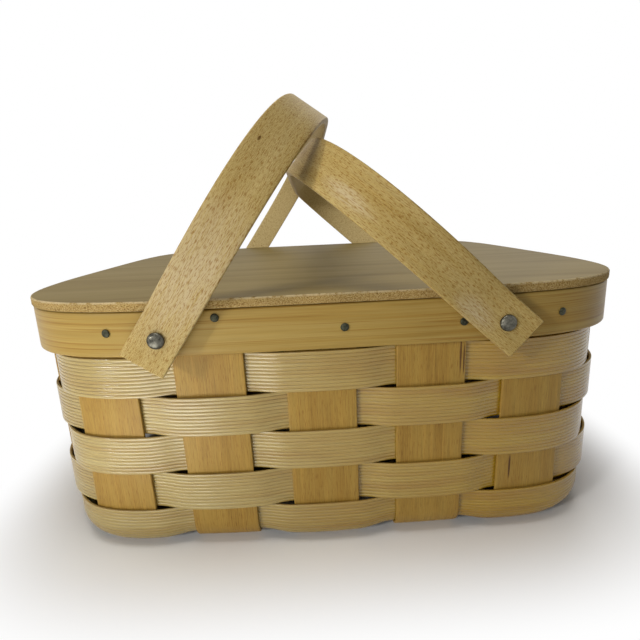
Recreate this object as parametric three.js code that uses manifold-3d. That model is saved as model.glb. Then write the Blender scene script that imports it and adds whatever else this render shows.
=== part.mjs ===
// Square splint picnic basket with a loose board lid and two swing handles.
// Millimetres, +Z up, front towards -Y, origin on the floor under the middle of the basket.

import * as THREE from 'three';
import { mergeVertices } from 'three/addons/utils/BufferGeometryUtils.js';
import Module from 'manifold-3d';

const wasm = await Module();
wasm.setup();

// Driving dimensions: plan and height
const LID_HALF = 200; // half the side of the square lid
const PLAN_EXPONENT = 4.5; // superellipse exponent of every outline seen from above
const RIM_TOP = 158; // height of the rim's top edge above the floor
const WALL_TAPER = 0.0326; // lean of the walls, radians, narrower at the floor
const CORNER_FILL_TOP = 2.5; // how far the corners stand out beyond that outline at the rim
const CORNER_FILL_FOOT = 7.5; // and at the foot of the walls
const CORNER_FILL_REACH = 75; // length of the fill to each side of a corner
const LID_OVERHANG = 0.75; // lid edge beyond the outer hoop
const FIT_GAP = 0.3; // clearance between pieces that touch on the real basket

// Driving dimensions: splints
const STAKES_PER_SIDE = 5;
const STAKE_WIDTH = 41;
const STAKE_THICKNESS = 1.8;
const STAKE_PITCH = 64.6;
const STAKE_SHIFT = -5.3; // front and back stakes sit a little left of the middle
const STAKE_TOP_DROP = 1.5; // stake ends are trimmed below the rim's top edge
const BEND_RADIUS = 16; // bend of a stake from wall to base
const WEAVER_ROWS = 5;
const WEAVER_THICKNESS = 1.5;
const WEAVER_PITCH = 25.3;
const WEAVER_WIDTH = 24.8;
const FIRST_ROW_DROP = 28; // rim top to the top edge of the first weaver
const WEAVE_GAP = 0.35; // clearance between crossing splints
const WEAVER_CROWN = 0.6; // extra bulge of a weaver over the middle of a stake
const WEAVER_PLATEAU = 0.8; // a weaver runs level this far past a stake's edge

// Driving dimensions: rim hoops and nails
const HOOP_HEIGHT = 26;
const OUTER_HOOP_THICKNESS = 5.5;
const INNER_HOOP_THICKNESS = 4.5;
const NAIL_HEAD_RADIUS = 2.4;
const NAIL_HEAD_HEIGHT = 0.9;
const NAIL_SHANK_RADIUS = 0.8;
const NAIL_INNER_BITE = 3; // depth of the nail in the inner hoop
const NAIL_DROP = 12.5; // rim top to nail
const FRONT_NAIL_SHIFTS = [12, 8, 14, 16, 9]; // along the rim from each front stake's middle
const FRONT_NAIL_DROPS = [11.6, 4.6, 13.5, 13.9, 12.7];

// Driving dimensions: handles and their rivets
const HANDLE_WIDTH = 26.3;
const HANDLE_THICKNESS = 4;
const HANDLE_LID_CLEARANCE = 2.5; // handle leg to the lid's edge
const HANDLE_SPLAY_START = 11; // height above the rivet where the legs begin to splay
const HANDLE_BEND_START = 26; // height above the rivet where the bend begins
const PIVOT_DROP = 14; // rim top to rivet
const LEFT_HANDLE = {
  pivotX: -92.4,
  lean: THREE.MathUtils.degToRad(34.8),
  tail: 17.2, // leg below the rivet
  reach: 161, // rivet to the top of the bar
  splay: 0.1, // outward lean of the legs, radians
  barHalf: 80, // half of the straight bar
  legPull: 68, // how far the bend keeps to the leg's direction
  barPull: 126, // how far the bend keeps to the bar's direction
};
const RIGHT_HANDLE = {
  pivotX: 96.5,
  lean: THREE.MathUtils.degToRad(-47.8),
  tail: 14.9,
  reach: 147.4,
  splay: 0.2,
  barHalf: 122,
  legPull: 80,
  barPull: 66,
};
const RIVET_SHANK_RADIUS = 1.6;
const RIVET_HEAD_RADIUS = 4.7;
const RIVET_HEAD_HEIGHT = 2.6;
const RIVET_PEEN_RADIUS = 3.4;
const RIVET_PEEN_HEIGHT = 1.5;
const SPACER_RADIUS = 5;
const BURR_RADIUS = 5;
const BURR_THICKNESS = 1;

// Driving dimensions: lid
const LID_THICKNESS = 5.5;
const LID_EDGE_CHAMFER = 0.8;
const BATTEN_EDGE_INSET = 75; // lid edge to the middle of a batten
const BATTEN_WIDTH = 18;
const BATTEN_DEPTH = 9;
const BATTEN_END_CLEARANCE = 2.5; // batten end to the inner hoop
const SCREW_EDGE_INSET = 90; // lid edge to a screw
const SCREW_HEAD_RADIUS = 3;
const SCREW_SHANK_RADIUS = 1.5;
const SCREW_BITE = 3.2; // depth of the screw in the lid

// How finely round forms are cut
const LID_STATIONS = 80;
const WALL_STEPS = 6; // facets of a stake down a wall, which is twisted near the corners
const ARC_STEPS = 4;
const HANDLE_BEND_STEPS = 16;
const NAIL_SIDES = 6;
const RIVET_SIDES = 12;
const SCREW_SIDES = 10;
const CORNER_STATIONS = 3; // extra stations on hoops and weavers round a corner

// Offsets from the middle of the wall, positive outwards
const HOOP_SEAT = STAKE_THICKNESS / 2 + WEAVE_GAP;
const OUTER_HOOP_FACE = HOOP_SEAT + OUTER_HOOP_THICKNESS;
const INNER_HOOP_FACE = -HOOP_SEAT - INNER_HOOP_THICKNESS;
const WALL_HALF = LID_HALF - LID_OVERHANG - OUTER_HOOP_FACE;
const WEAVE_OFFSET = (STAKE_THICKNESS + WEAVER_THICKNESS) / 2 + WEAVE_GAP;
const BASE_OFFSET = (STAKE_THICKNESS + WEAVE_GAP) / 2;
const BASE_MIDDLE = BASE_OFFSET + STAKE_THICKNESS / 2;
const HANDLE_INNER_FACE = LID_HALF + HANDLE_LID_CLEARANCE;
const BATTEN_OFFSET = LID_HALF - BATTEN_EDGE_INSET;
const SCREW_OFFSET = LID_HALF - SCREW_EDGE_INSET;

const basket = new THREE.Group();

// Materials
const wood = (color, roughness) => new THREE.MeshStandardMaterial({ color, roughness, metalness: 0 });
const metal = (color, roughness) => new THREE.MeshStandardMaterial({ color, roughness, metalness: 0.9 });
const MATERIAL = {
  stake: wood(0x9c7a4e, 0.5),
  weaver: wood(0xc9a877, 0.38),
  rim: wood(0xa9753f, 0.45),
  handle: wood(0xa87a48, 0.42),
  lid: wood(0x97794f, 0.4),
  batten: wood(0xa58457, 0.55),
  rivet: metal(0x55504a, 0.4),
  nail: metal(0x77766a, 0.45),
  screw: metal(0xa08c5a, 0.4),
};

function addMesh(name, geometry, material) {
  const mesh = new THREE.Mesh(geometry, material);
  mesh.name = name;
  basket.add(mesh);
  return mesh;
}

// Plan outline as a table of arc length, from the middle of the front towards +X
function buildPlan(half, exponent) {
  const count = 4000;
  const table = [];
  let arc = 0;
  for (let i = 0; i <= count; i += 1) {
    const angle = (2 * Math.PI * i) / count - Math.PI / 2;
    const c = Math.cos(angle);
    const s = Math.sin(angle);
    const radius = half / (Math.abs(c) ** exponent + Math.abs(s) ** exponent) ** (1 / exponent);
    const x = radius * c;
    const y = radius * s;
    const slopeX = Math.sign(x) * Math.abs(x / half) ** (exponent - 1);
    const slopeY = Math.sign(y) * Math.abs(y / half) ** (exponent - 1);
    const length = Math.hypot(slopeX, slopeY);
    if (i > 0) {
      arc += Math.hypot(x - table[i - 1].x, y - table[i - 1].y);
    }
    table.push({ arc, x, y, nx: slopeX / length, ny: slopeY / length });
  }
  return table;
}

const PLAN = buildPlan(WALL_HALF, PLAN_EXPONENT);
const PLAN_LENGTH = PLAN[PLAN.length - 1].arc;
const QUARTER = PLAN_LENGTH / 4;

// Share of the corner fill at an arc length: 1 at a corner, 0 along the sides
function cornerShare(arc) {
  const alongSide = ((arc % QUARTER) + QUARTER) % QUARTER;
  const toCorner = Math.abs(alongSide - QUARTER / 2);
  return toCorner < CORNER_FILL_REACH ? Math.cos((Math.PI / 2) * (toCorner / CORNER_FILL_REACH)) ** 2 : 0;
}

// Point of the outline at an arc length, pushed out along its normal
function planPoint(arc, offset) {
  const wrapped = ((arc % PLAN_LENGTH) + PLAN_LENGTH) % PLAN_LENGTH;
  let low = 0;
  let high = PLAN.length - 1;
  while (high - low > 1) {
    const middle = (low + high) >> 1;
    if (PLAN[middle].arc <= wrapped) {
      low = middle;
    } else {
      high = middle;
    }
  }
  const a = PLAN[low];
  const b = PLAN[high];
  const t = (wrapped - a.arc) / (b.arc - a.arc);
  const nx = a.nx + (b.nx - a.nx) * t;
  const ny = a.ny + (b.ny - a.ny) * t;
  return { x: a.x + (b.x - a.x) * t + nx * offset, y: a.y + (b.y - a.y) * t + ny * offset, nx, ny };
}

// Arc length on the front where the offset outline has this x
function frontArcAtX(x, offset) {
  let low = -PLAN_LENGTH / 8;
  let high = PLAN_LENGTH / 8;
  for (let i = 0; i < 50; i += 1) {
    const middle = (low + high) / 2;
    if (planPoint(middle, offset).x < x) {
      low = middle;
    } else {
      high = middle;
    }
  }
  return (low + high) / 2;
}

// Wall profile seen from the side: straight and leaning, then bent into the base
const WALL_DROP = RIM_TOP - BASE_MIDDLE - BEND_RADIUS * (1 - Math.sin(WALL_TAPER));
const WALL_RUN = WALL_DROP / Math.cos(WALL_TAPER);
const BEND_RUN = BEND_RADIUS * (Math.PI / 2 - WALL_TAPER);
const BEND_RUNS = [...Array(ARC_STEPS + 1).keys()].map((i) => WALL_RUN + (BEND_RUN * i) / ARC_STEPS);
const STRAIGHT_RUN = WALL_RUN - STAKE_TOP_DROP; // straight part of a stake
const STRAIGHT_RUNS = [...Array(WALL_STEPS).keys()].map((i) => STAKE_TOP_DROP + (STRAIGHT_RUN * i) / WALL_STEPS);

function wallProfile(run) {
  const straight = Math.min(run, WALL_RUN);
  const turn = Math.max(0, run - WALL_RUN) / BEND_RADIUS;
  const angle = WALL_TAPER + turn;
  const inset = straight * Math.sin(WALL_TAPER)
    + BEND_RADIUS * (Math.cos(WALL_TAPER) - Math.cos(angle));
  const z = RIM_TOP - straight * Math.cos(WALL_TAPER)
    - BEND_RADIUS * (Math.sin(angle) - Math.sin(WALL_TAPER));
  return { inset, z, out: Math.cos(angle), down: Math.sin(angle) };
}

// Point on the wall: place round the rim, run down the wall, offset off its middle
function wallPoint(arc, run, offset) {
  const profile = wallProfile(run);
  const depth = Math.min(1, run / WALL_RUN);
  const fill = cornerShare(arc) * (CORNER_FILL_TOP + (CORNER_FILL_FOOT - CORNER_FILL_TOP) * depth);
  const p = planPoint(arc, offset * profile.out - profile.inset + fill);
  return new THREE.Vector3(p.x, p.y, profile.z - offset * profile.down);
}

// Face of the wall at the front, as a distance from the middle plane
function frontFace(x, z, offset) {
  const inset = (RIM_TOP - z) * Math.tan(WALL_TAPER);
  const arc = frontArcAtX(x, offset - inset);
  return -planPoint(arc, offset - inset).y;
}

// Solid swept through sections; each has its outer points and then its inner points back again
function sweepSolid(sections, closed) {
  const size = sections[0].length;
  const positions = [];
  const index = [];
  sections.forEach((section) => section.forEach((p) => positions.push(p.x, p.y, p.z)));
  const last = closed ? sections.length : sections.length - 1;
  for (let i = 0; i < last; i += 1) {
    const next = (i + 1) % sections.length;
    for (let j = 0; j < size; j += 1) {
      const side = (j + 1) % size;
      const a = i * size + j;
      const b = i * size + side;
      const c = next * size + side;
      const d = next * size + j;
      index.push(a, b, c, a, c, d);
    }
  }
  if (!closed) {
    const end = (sections.length - 1) * size;
    for (let j = 0; j < size / 2 - 1; j += 1) {
      const back = size - 1 - j;
      index.push(j, back, back - 1, j, back - 1, j + 1);
      index.push(end + j, end + back - 1, end + back, end + j, end + j + 1, end + back - 1);
    }
  }
  const geometry = new THREE.BufferGeometry();
  geometry.setAttribute('position', new THREE.Float32BufferAttribute(positions, 3));
  geometry.setIndex(index);
  return faceOutwards(geometry);
}

// Turn every face over where the solid is inside out
function faceOutwards(geometry) {
  const p = geometry.getAttribute('position');
  const index = geometry.getIndex().array;
  const a = new THREE.Vector3();
  const b = new THREE.Vector3();
  const c = new THREE.Vector3();
  let volume = 0;
  for (let i = 0; i < index.length; i += 3) {
    a.fromBufferAttribute(p, index[i]);
    b.fromBufferAttribute(p, index[i + 1]);
    c.fromBufferAttribute(p, index[i + 2]);
    volume += a.dot(b.cross(c));
  }
  if (volume < 0) {
    const flipped = Array.from(index);
    for (let i = 0; i < flipped.length; i += 3) {
      [flipped[i], flipped[i + 1]] = [flipped[i + 1], flipped[i]];
    }
    geometry.setIndex(flipped);
  }
  geometry.computeVertexNormals();
  return geometry;
}

function toSolid(geometry) {
  const bare = geometry.clone();
  bare.deleteAttribute('normal');
  bare.deleteAttribute('uv');
  const merged = mergeVertices(bare);
  return new wasm.Manifold(new wasm.Mesh({
    numProp: 3,
    vertProperties: new Float32Array(merged.getAttribute('position').array),
    triVerts: new Uint32Array(merged.getIndex().array),
  }));
}

function toGeometry(solid) {
  const mesh = solid.getMesh();
  const geometry = new THREE.BufferGeometry();
  geometry.setAttribute('position', new THREE.Float32BufferAttribute(mesh.vertProperties, 3));
  geometry.setIndex(Array.from(mesh.triVerts));
  geometry.computeVertexNormals();
  return geometry;
}

function cutAll(geometry, cutters) {
  let solid = toSolid(geometry);
  cutters.forEach((cutter) => {
    solid = solid.subtract(toSolid(cutter));
  });
  return toGeometry(solid);
}

// Turned piece about local +Z, from radius and height pairs
function turned(profile, sides) {
  const points = profile.map(([radius, height]) => new THREE.Vector2(radius, height));
  const geometry = new THREE.LatheGeometry(points, sides);
  geometry.deleteAttribute('normal');
  geometry.deleteAttribute('uv');
  geometry.rotateX(Math.PI / 2);
  return faceOutwards(mergeVertices(geometry));
}

// Drill along local Z, long enough to pass right through what it cuts
function drill(radius, sides, from, to) {
  return turned([[0, from], [radius, from], [radius, to], [0, to]], sides);
}

// Turn a piece made along +Z so that it points along a direction at a place
function aim(geometry, place, direction) {
  const turn = new THREE.Quaternion().setFromUnitVectors(new THREE.Vector3(0, 0, 1), direction);
  return geometry.clone().applyMatrix4(new THREE.Matrix4().compose(place, turn, new THREE.Vector3(1, 1, 1)));
}

// Stakes: where each one meets the rim, in order round the basket
const MIDDLE_STAKE = (STAKES_PER_SIDE - 1) / 2;
const stakeStep = (i) => (i - MIDDLE_STAKE) * STAKE_PITCH;

// Front, right, back and left; front and back ends belong to the same splints
function stakeEnds() {
  const ends = [];
  for (let i = 0; i < STAKES_PER_SIDE; i += 1) {
    const shift = FRONT_NAIL_SHIFTS[i % FRONT_NAIL_SHIFTS.length];
    const drop = FRONT_NAIL_DROPS[i % FRONT_NAIL_DROPS.length];
    ends.push({ side: 'front', number: i, arc: stakeStep(i) + STAKE_SHIFT, nailShift: shift, nailDrop: drop });
  }
  for (let i = 0; i < STAKES_PER_SIDE; i += 1) {
    ends.push({ side: 'right', number: i, arc: QUARTER + stakeStep(i), nailShift: 0, nailDrop: NAIL_DROP });
  }
  for (let i = STAKES_PER_SIDE - 1; i >= 0; i -= 1) {
    const arc = 2 * QUARTER - stakeStep(i) - STAKE_SHIFT;
    ends.push({ side: 'back', number: i, arc, nailShift: 0, nailDrop: NAIL_DROP });
  }
  for (let i = STAKES_PER_SIDE - 1; i >= 0; i -= 1) {
    ends.push({ side: 'left', number: i, arc: 3 * QUARTER - stakeStep(i), nailShift: 0, nailDrop: NAIL_DROP });
  }
  return ends;
}

const ENDS = stakeEnds();

// Rim nails: one at each stake end, square to the hoop
function nailFrame(end) {
  const arc = end.arc + end.nailShift;
  const place = wallPoint(arc, end.nailDrop, OUTER_HOOP_FACE + FIT_GAP);
  const direction = place.clone().sub(wallPoint(arc, end.nailDrop, 0)).normalize();
  return { place, direction };
}

const NAIL_LENGTH = FIT_GAP + OUTER_HOOP_THICKNESS + 2 * HOOP_SEAT + NAIL_INNER_BITE;

function nailGeometry() {
  const chamfer = NAIL_HEAD_HEIGHT / 3;
  return turned([
    [0, NAIL_HEAD_HEIGHT],
    [NAIL_HEAD_RADIUS - chamfer, NAIL_HEAD_HEIGHT],
    [NAIL_HEAD_RADIUS, 0],
    [NAIL_SHANK_RADIUS, 0],
    [NAIL_SHANK_RADIUS, -NAIL_LENGTH],
    [0, -NAIL_LENGTH],
  ], NAIL_SIDES);
}

function nailDrill(end) {
  const { place, direction } = nailFrame(end);
  const radius = NAIL_SHANK_RADIUS + FIT_GAP;
  return aim(drill(radius, NAIL_SIDES, -NAIL_LENGTH - FIT_GAP, NAIL_HEAD_HEIGHT), place, direction);
}

function addNails() {
  const geometry = nailGeometry();
  ENDS.forEach((end) => {
    const { place, direction } = nailFrame(end);
    const nail = addMesh(`rim_nail_${end.side}_${end.number + 1}`, geometry, MATERIAL.nail);
    nail.position.copy(place);
    nail.quaternion.setFromUnitVectors(new THREE.Vector3(0, 0, 1), direction);
  });
}

// Stakes: one splint down a wall, across the base under and over its neighbours, and up the far wall
function stakeSection(columns) {
  const outer = columns.map(({ place, normal }) => place.clone().addScaledVector(normal, STAKE_THICKNESS / 2));
  const inner = columns.map(({ place, normal }) => place.clone().addScaledVector(normal, -STAKE_THICKNESS / 2));
  return [...outer, ...inner.reverse()];
}

function wallSections(arcs) {
  const runs = [...STRAIGHT_RUNS, ...BEND_RUNS];
  return runs.map((run) => arcs.map((arc) => {
    const place = wallPoint(arc, run, 0);
    return { place, normal: wallPoint(arc, run, 1).sub(place) };
  }));
}

// Band that a stake covers on the base, read at the foot of one of its walls
function baseBand(end, axis) {
  const edges = [-0.5, 0.5].map((share) => wallPoint(end.arc + share * STAKE_WIDTH, WALL_RUN + BEND_RUN, 0)[axis]);
  return { low: Math.min(...edges) - WEAVER_PLATEAU, high: Math.max(...edges) + WEAVER_PLATEAU };
}

// Heights of a stake across the base, under and over the bands it crosses
function crossingLevels(number, firstSign, bands) {
  return bands.flatMap(({ low, high }, i) => {
    const sign = (number + i) % 2 === 0 ? firstSign : -firstSign;
    const z = BASE_MIDDLE + sign * BASE_OFFSET;
    return [{ along: low, z }, { along: high, z }];
  });
}

function stakeGeometry(nearEnd, farEnd, levels, alongX) {
  const widths = [-0.5, 0, 0.5].map((share) => share * STAKE_WIDTH);
  const near = wallSections(widths.map((w) => nearEnd.arc + w));
  const far = wallSections(widths.map((w) => farEnd.arc - w));
  const foot = near[near.length - 1];
  const down = new THREE.Vector3(0, 0, -1);
  const base = levels.map(({ along, z }) => foot.map(({ place }) => ({
    place: alongX ? new THREE.Vector3(along, place.y, z) : new THREE.Vector3(place.x, along, z),
    normal: down,
  })));
  const sections = [...near, ...base, ...far.reverse()].map(stakeSection);
  return cutAll(sweepSolid(sections, false), [nailDrill(nearEnd), nailDrill(farEnd)]);
}

function addStakes() {
  const sideEnds = (side) => ENDS.filter((end) => end.side === side).sort((a, b) => a.number - b.number);
  const front = sideEnds('front');
  const back = sideEnds('back');
  const left = sideEnds('left');
  const right = sideEnds('right');
  const crossBands = front.map((end) => baseBand(end, 'x'));
  const longBands = left.map((end) => baseBand(end, 'y'));
  for (let i = 0; i < STAKES_PER_SIDE; i += 1) {
    const across = stakeGeometry(front[i], back[i], crossingLevels(i, -1, longBands), false);
    addMesh(`cross_stake_${i + 1}`, across, MATERIAL.stake);
    const along = stakeGeometry(left[i], right[i], crossingLevels(i, 1, crossBands), true);
    addMesh(`long_stake_${i + 1}`, along, MATERIAL.stake);
  }
}

// Stations round the rim shared by hoops and weavers, with the swing of a weaver at each one
function ringStations() {
  const half = STAKE_WIDTH / 2 + WEAVER_PLATEAU;
  return ENDS.flatMap((end, i) => {
    const following = ENDS[(i + 1) % ENDS.length];
    const nextArc = following.arc + (i + 1 === ENDS.length ? PLAN_LENGTH : 0);
    const sign = i % 2 === 0 ? 1 : -1;
    const gapStart = end.arc + half;
    const gap = nextArc - half - gapStart;
    const steps = end.side === following.side ? 1 : CORNER_STATIONS;
    const between = [...Array(steps).keys()].map((k) => {
      const t = (k + 1) / (steps + 1);
      return { arc: gapStart + gap * t, swing: sign * WEAVE_OFFSET * Math.cos(Math.PI * t) };
    });
    return [
      { arc: end.arc - half, swing: sign * WEAVE_OFFSET },
      { arc: end.arc, swing: sign * (WEAVE_OFFSET + WEAVER_CROWN) },
      { arc: gapStart, swing: sign * WEAVE_OFFSET },
      ...between,
    ];
  });
}

const STATIONS = ringStations();

// Weavers: closed rings that pass over one stake and under the next
function weaverGeometry(row) {
  const top = FIRST_ROW_DROP + row * WEAVER_PITCH;
  const bottom = top + WEAVER_WIDTH;
  const bends = BEND_RUNS.filter((run) => run > top && run < bottom - WEAVER_THICKNESS);
  const runs = [top, ...bends, bottom];
  const side = row % 2 === 0 ? 1 : -1;
  const sections = STATIONS.map(({ arc, swing }) => {
    const offset = side * swing;
    const outer = runs.map((run) => wallPoint(arc, run, offset + WEAVER_THICKNESS / 2));
    const inner = runs.map((run) => wallPoint(arc, run, offset - WEAVER_THICKNESS / 2));
    return [...outer, ...inner.reverse()];
  });
  return sweepSolid(sections, true);
}

function addWeavers() {
  for (let row = 0; row < WEAVER_ROWS; row += 1) {
    addMesh(`weaver_row_${row + 1}`, weaverGeometry(row), MATERIAL.weaver);
  }
}

// Handle pivots: rivet axis, and the stack of pieces along it at the front
function pivotStack(handle) {
  const z = RIM_TOP - PIVOT_DROP;
  const inward = Math.abs(handle.pivotX) - SPACER_RADIUS;
  const outerFace = frontFace(inward, z + SPACER_RADIUS, OUTER_HOOP_FACE) + FIT_GAP;
  const outward = Math.abs(handle.pivotX) + BURR_RADIUS;
  const innerFace = frontFace(outward, z - BURR_RADIUS, INNER_HOOP_FACE) - FIT_GAP;
  return { z, outerFace, innerFace };
}

// Both rivets of a handle lie on one axis, one at the front and one at the back
const FACINGS = [{ name: 'front', direction: new THREE.Vector3(0, -1, 0) },
  { name: 'back', direction: new THREE.Vector3(0, 1, 0) }];

function pivotDrills() {
  const drills = [];
  [LEFT_HANDLE, RIGHT_HANDLE].forEach((handle) => {
    const hole = drill(RIVET_SHANK_RADIUS + FIT_GAP, RIVET_SIDES, LID_HALF / 2, HANDLE_INNER_FACE);
    const place = new THREE.Vector3(handle.pivotX, 0, RIM_TOP - PIVOT_DROP);
    FACINGS.forEach(({ direction }) => drills.push(aim(hole, place, direction)));
  });
  return drills;
}

// Rim hoops: one outside and one inside the stake ends
function hoopGeometry(fromOffset, toOffset) {
  const levels = [0, HOOP_HEIGHT];
  const sections = STATIONS.map(({ arc }) => {
    const outer = levels.map((run) => wallPoint(arc, run, toOffset));
    const inner = levels.map((run) => wallPoint(arc, run, fromOffset));
    return [...outer, ...inner.reverse()];
  });
  return cutAll(sweepSolid(sections, true), [...ENDS.map(nailDrill), ...pivotDrills()]);
}

function addHoops() {
  addMesh('outer_rim_hoop', hoopGeometry(HOOP_SEAT, OUTER_HOOP_FACE), MATERIAL.rim);
  addMesh('inner_rim_hoop', hoopGeometry(INNER_HOOP_FACE, -HOOP_SEAT), MATERIAL.rim);
}

function addPivots(side, handle) {
  const { z, outerFace, innerFace } = pivotStack(handle);
  const headSeat = HANDLE_INNER_FACE + HANDLE_THICKNESS + FIT_GAP;
  const burrInside = innerFace - BURR_THICKNESS;
  const peenSeat = burrInside - FIT_GAP;
  const rivet = turned([
    [0, headSeat + RIVET_HEAD_HEIGHT],
    [RIVET_HEAD_RADIUS * 0.55, headSeat + RIVET_HEAD_HEIGHT * 0.85],
    [RIVET_HEAD_RADIUS * 0.88, headSeat + RIVET_HEAD_HEIGHT * 0.45],
    [RIVET_HEAD_RADIUS, headSeat],
    [RIVET_SHANK_RADIUS, headSeat],
    [RIVET_SHANK_RADIUS, peenSeat],
    [RIVET_PEEN_RADIUS, peenSeat],
    [RIVET_SHANK_RADIUS, peenSeat - RIVET_PEEN_HEIGHT],
    [0, peenSeat - RIVET_PEEN_HEIGHT],
  ], RIVET_SIDES);
  const bore = RIVET_SHANK_RADIUS + FIT_GAP;
  const ring = (radius, from, to) => turned([
    [bore, from], [radius, from], [radius, to], [bore, to], [bore, from],
  ], RIVET_SIDES);
  const pieces = {
    handle_rivet: rivet,
    handle_spacer: ring(SPACER_RADIUS, outerFace, HANDLE_INNER_FACE - FIT_GAP),
    rivet_burr: ring(BURR_RADIUS, burrInside, innerFace),
  };
  FACINGS.forEach((facing) => {
    Object.entries(pieces).forEach(([name, geometry]) => {
      const mesh = addMesh(`${side}_${name}_${facing.name}`, geometry, MATERIAL.rivet);
      mesh.position.set(handle.pivotX, 0, z);
      mesh.quaternion.setFromUnitVectors(new THREE.Vector3(0, 0, 1), facing.direction);
    });
  });
}

// Handles: a flat strip bent into an arch, drawn as depth against height above the rivet
function handlePath(handle) {
  const half = HANDLE_INNER_FACE + HANDLE_THICKNESS / 2;
  const splayed = half + (HANDLE_BEND_START - HANDLE_SPLAY_START) * Math.tan(handle.splay);
  const legTop = new THREE.Vector2(splayed, HANDLE_BEND_START);
  const legWay = new THREE.Vector2(Math.sin(handle.splay), Math.cos(handle.splay));
  const barEnd = new THREE.Vector2(handle.barHalf, handle.reach - HANDLE_THICKNESS / 2);
  const barWay = new THREE.Vector2(1, 0);
  const bend = new THREE.CubicBezierCurve(
    legTop,
    legTop.clone().addScaledVector(legWay, handle.legPull),
    barEnd.clone().addScaledVector(barWay, handle.barPull),
    barEnd,
  );
  const right = [
    new THREE.Vector2(half, -handle.tail),
    new THREE.Vector2(half, HANDLE_SPLAY_START),
    ...bend.getSpacedPoints(HANDLE_BEND_STEPS),
  ];
  const left = right.map((p) => new THREE.Vector2(-p.x, p.y)).reverse();
  return [...right, ...left];
}

// Outline of a strip of even thickness along a path
function thicken(path, thickness) {
  const outer = [];
  const inner = [];
  path.forEach((p, i) => {
    const before = path[Math.max(0, i - 1)];
    const after = path[Math.min(path.length - 1, i + 1)];
    const along = after.clone().sub(before).normalize();
    const normal = new THREE.Vector2(along.y, -along.x);
    outer.push(p.clone().addScaledVector(normal, thickness / 2));
    inner.push(p.clone().addScaledVector(normal, -thickness / 2));
  });
  return [...outer, ...inner.reverse()];
}

function handleGeometry(handle) {
  const shape = new THREE.Shape(thicken(handlePath(handle), HANDLE_THICKNESS));
  const strip = new THREE.ExtrudeGeometry(shape, { depth: HANDLE_WIDTH, bevelEnabled: false });
  strip.translate(0, 0, -HANDLE_WIDTH / 2);
  // shape x is depth, shape y is height and the extrusion is the strip's width
  strip.applyMatrix4(new THREE.Matrix4().makeBasis(
    new THREE.Vector3(0, 1, 0),
    new THREE.Vector3(0, 0, 1),
    new THREE.Vector3(1, 0, 0),
  ));
  const reach = HANDLE_INNER_FACE + 2 * HANDLE_THICKNESS;
  const hole = drill(RIVET_SHANK_RADIUS + FIT_GAP, RIVET_SIDES, LID_HALF / 2, reach);
  return cutAll(strip, FACINGS.map(({ direction }) => aim(hole, new THREE.Vector3(), direction)));
}

function addHandle(side, handle) {
  const mesh = addMesh(`${side}_handle`, handleGeometry(handle), MATERIAL.handle);
  mesh.position.set(handle.pivotX, 0, RIM_TOP - PIVOT_DROP);
  mesh.rotation.y = handle.lean;
  addPivots(side, handle);
}

// Lid: a board cut to the outline of the rim, with two battens that drop inside the inner hoop
const LID_UNDERSIDE = RIM_TOP + FIT_GAP;
const BATTEN_TOP = LID_UNDERSIDE - FIT_GAP;
const BATTEN_BOTTOM = BATTEN_TOP - BATTEN_DEPTH;
const SCREW_PLACES = [-1, 1].flatMap((x) => [-1, 1].map((y) => [x * BATTEN_OFFSET, y * SCREW_OFFSET]));

function screwDrill() {
  const top = LID_UNDERSIDE + SCREW_BITE + FIT_GAP;
  const shank = SCREW_SHANK_RADIUS + FIT_GAP;
  const head = SCREW_HEAD_RADIUS + FIT_GAP;
  const countersink = BATTEN_BOTTOM + SCREW_HEAD_RADIUS - SCREW_SHANK_RADIUS + FIT_GAP;
  return turned([
    [0, BATTEN_BOTTOM - FIT_GAP],
    [head, BATTEN_BOTTOM - FIT_GAP],
    [head, BATTEN_BOTTOM + FIT_GAP],
    [shank, countersink],
    [shank, top],
    [0, top],
  ], SCREW_SIDES);
}

function screwGeometry() {
  const countersink = BATTEN_BOTTOM + SCREW_HEAD_RADIUS - SCREW_SHANK_RADIUS;
  return turned([
    [0, BATTEN_BOTTOM],
    [SCREW_HEAD_RADIUS, BATTEN_BOTTOM],
    [SCREW_SHANK_RADIUS, countersink],
    [SCREW_SHANK_RADIUS, LID_UNDERSIDE + SCREW_BITE],
    [0, LID_UNDERSIDE + SCREW_BITE],
  ], SCREW_SIDES);
}

function lidGeometry() {
  const outline = [];
  const offset = LID_HALF - WALL_HALF - LID_EDGE_CHAMFER;
  for (let i = 0; i < LID_STATIONS; i += 1) {
    const arc = (PLAN_LENGTH * i) / LID_STATIONS;
    const p = planPoint(arc, offset + cornerShare(arc) * CORNER_FILL_TOP);
    outline.push(new THREE.Vector2(p.x, p.y));
  }
  const board = new THREE.ExtrudeGeometry(new THREE.Shape(outline), {
    depth: LID_THICKNESS - 2 * LID_EDGE_CHAMFER,
    bevelThickness: LID_EDGE_CHAMFER,
    bevelSize: LID_EDGE_CHAMFER,
    bevelSegments: 1,
  });
  board.translate(0, 0, LID_UNDERSIDE + LID_EDGE_CHAMFER);
  return cutAll(board, SCREW_PLACES.map(([x, y]) => screwDrill().translate(x, y, 0)));
}

function addBatten(name, x) {
  const outside = Math.abs(x) + BATTEN_WIDTH / 2;
  const length = 2 * (frontFace(outside, BATTEN_BOTTOM, INNER_HOOP_FACE) - BATTEN_END_CLEARANCE);
  const bar = new THREE.BoxGeometry(BATTEN_WIDTH, length, BATTEN_DEPTH);
  bar.translate(x, 0, BATTEN_BOTTOM + BATTEN_DEPTH / 2);
  const places = SCREW_PLACES.filter((place) => place[0] === x);
  addMesh(name, cutAll(bar, places.map((place) => screwDrill().translate(place[0], place[1], 0))), MATERIAL.batten);
}

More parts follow.
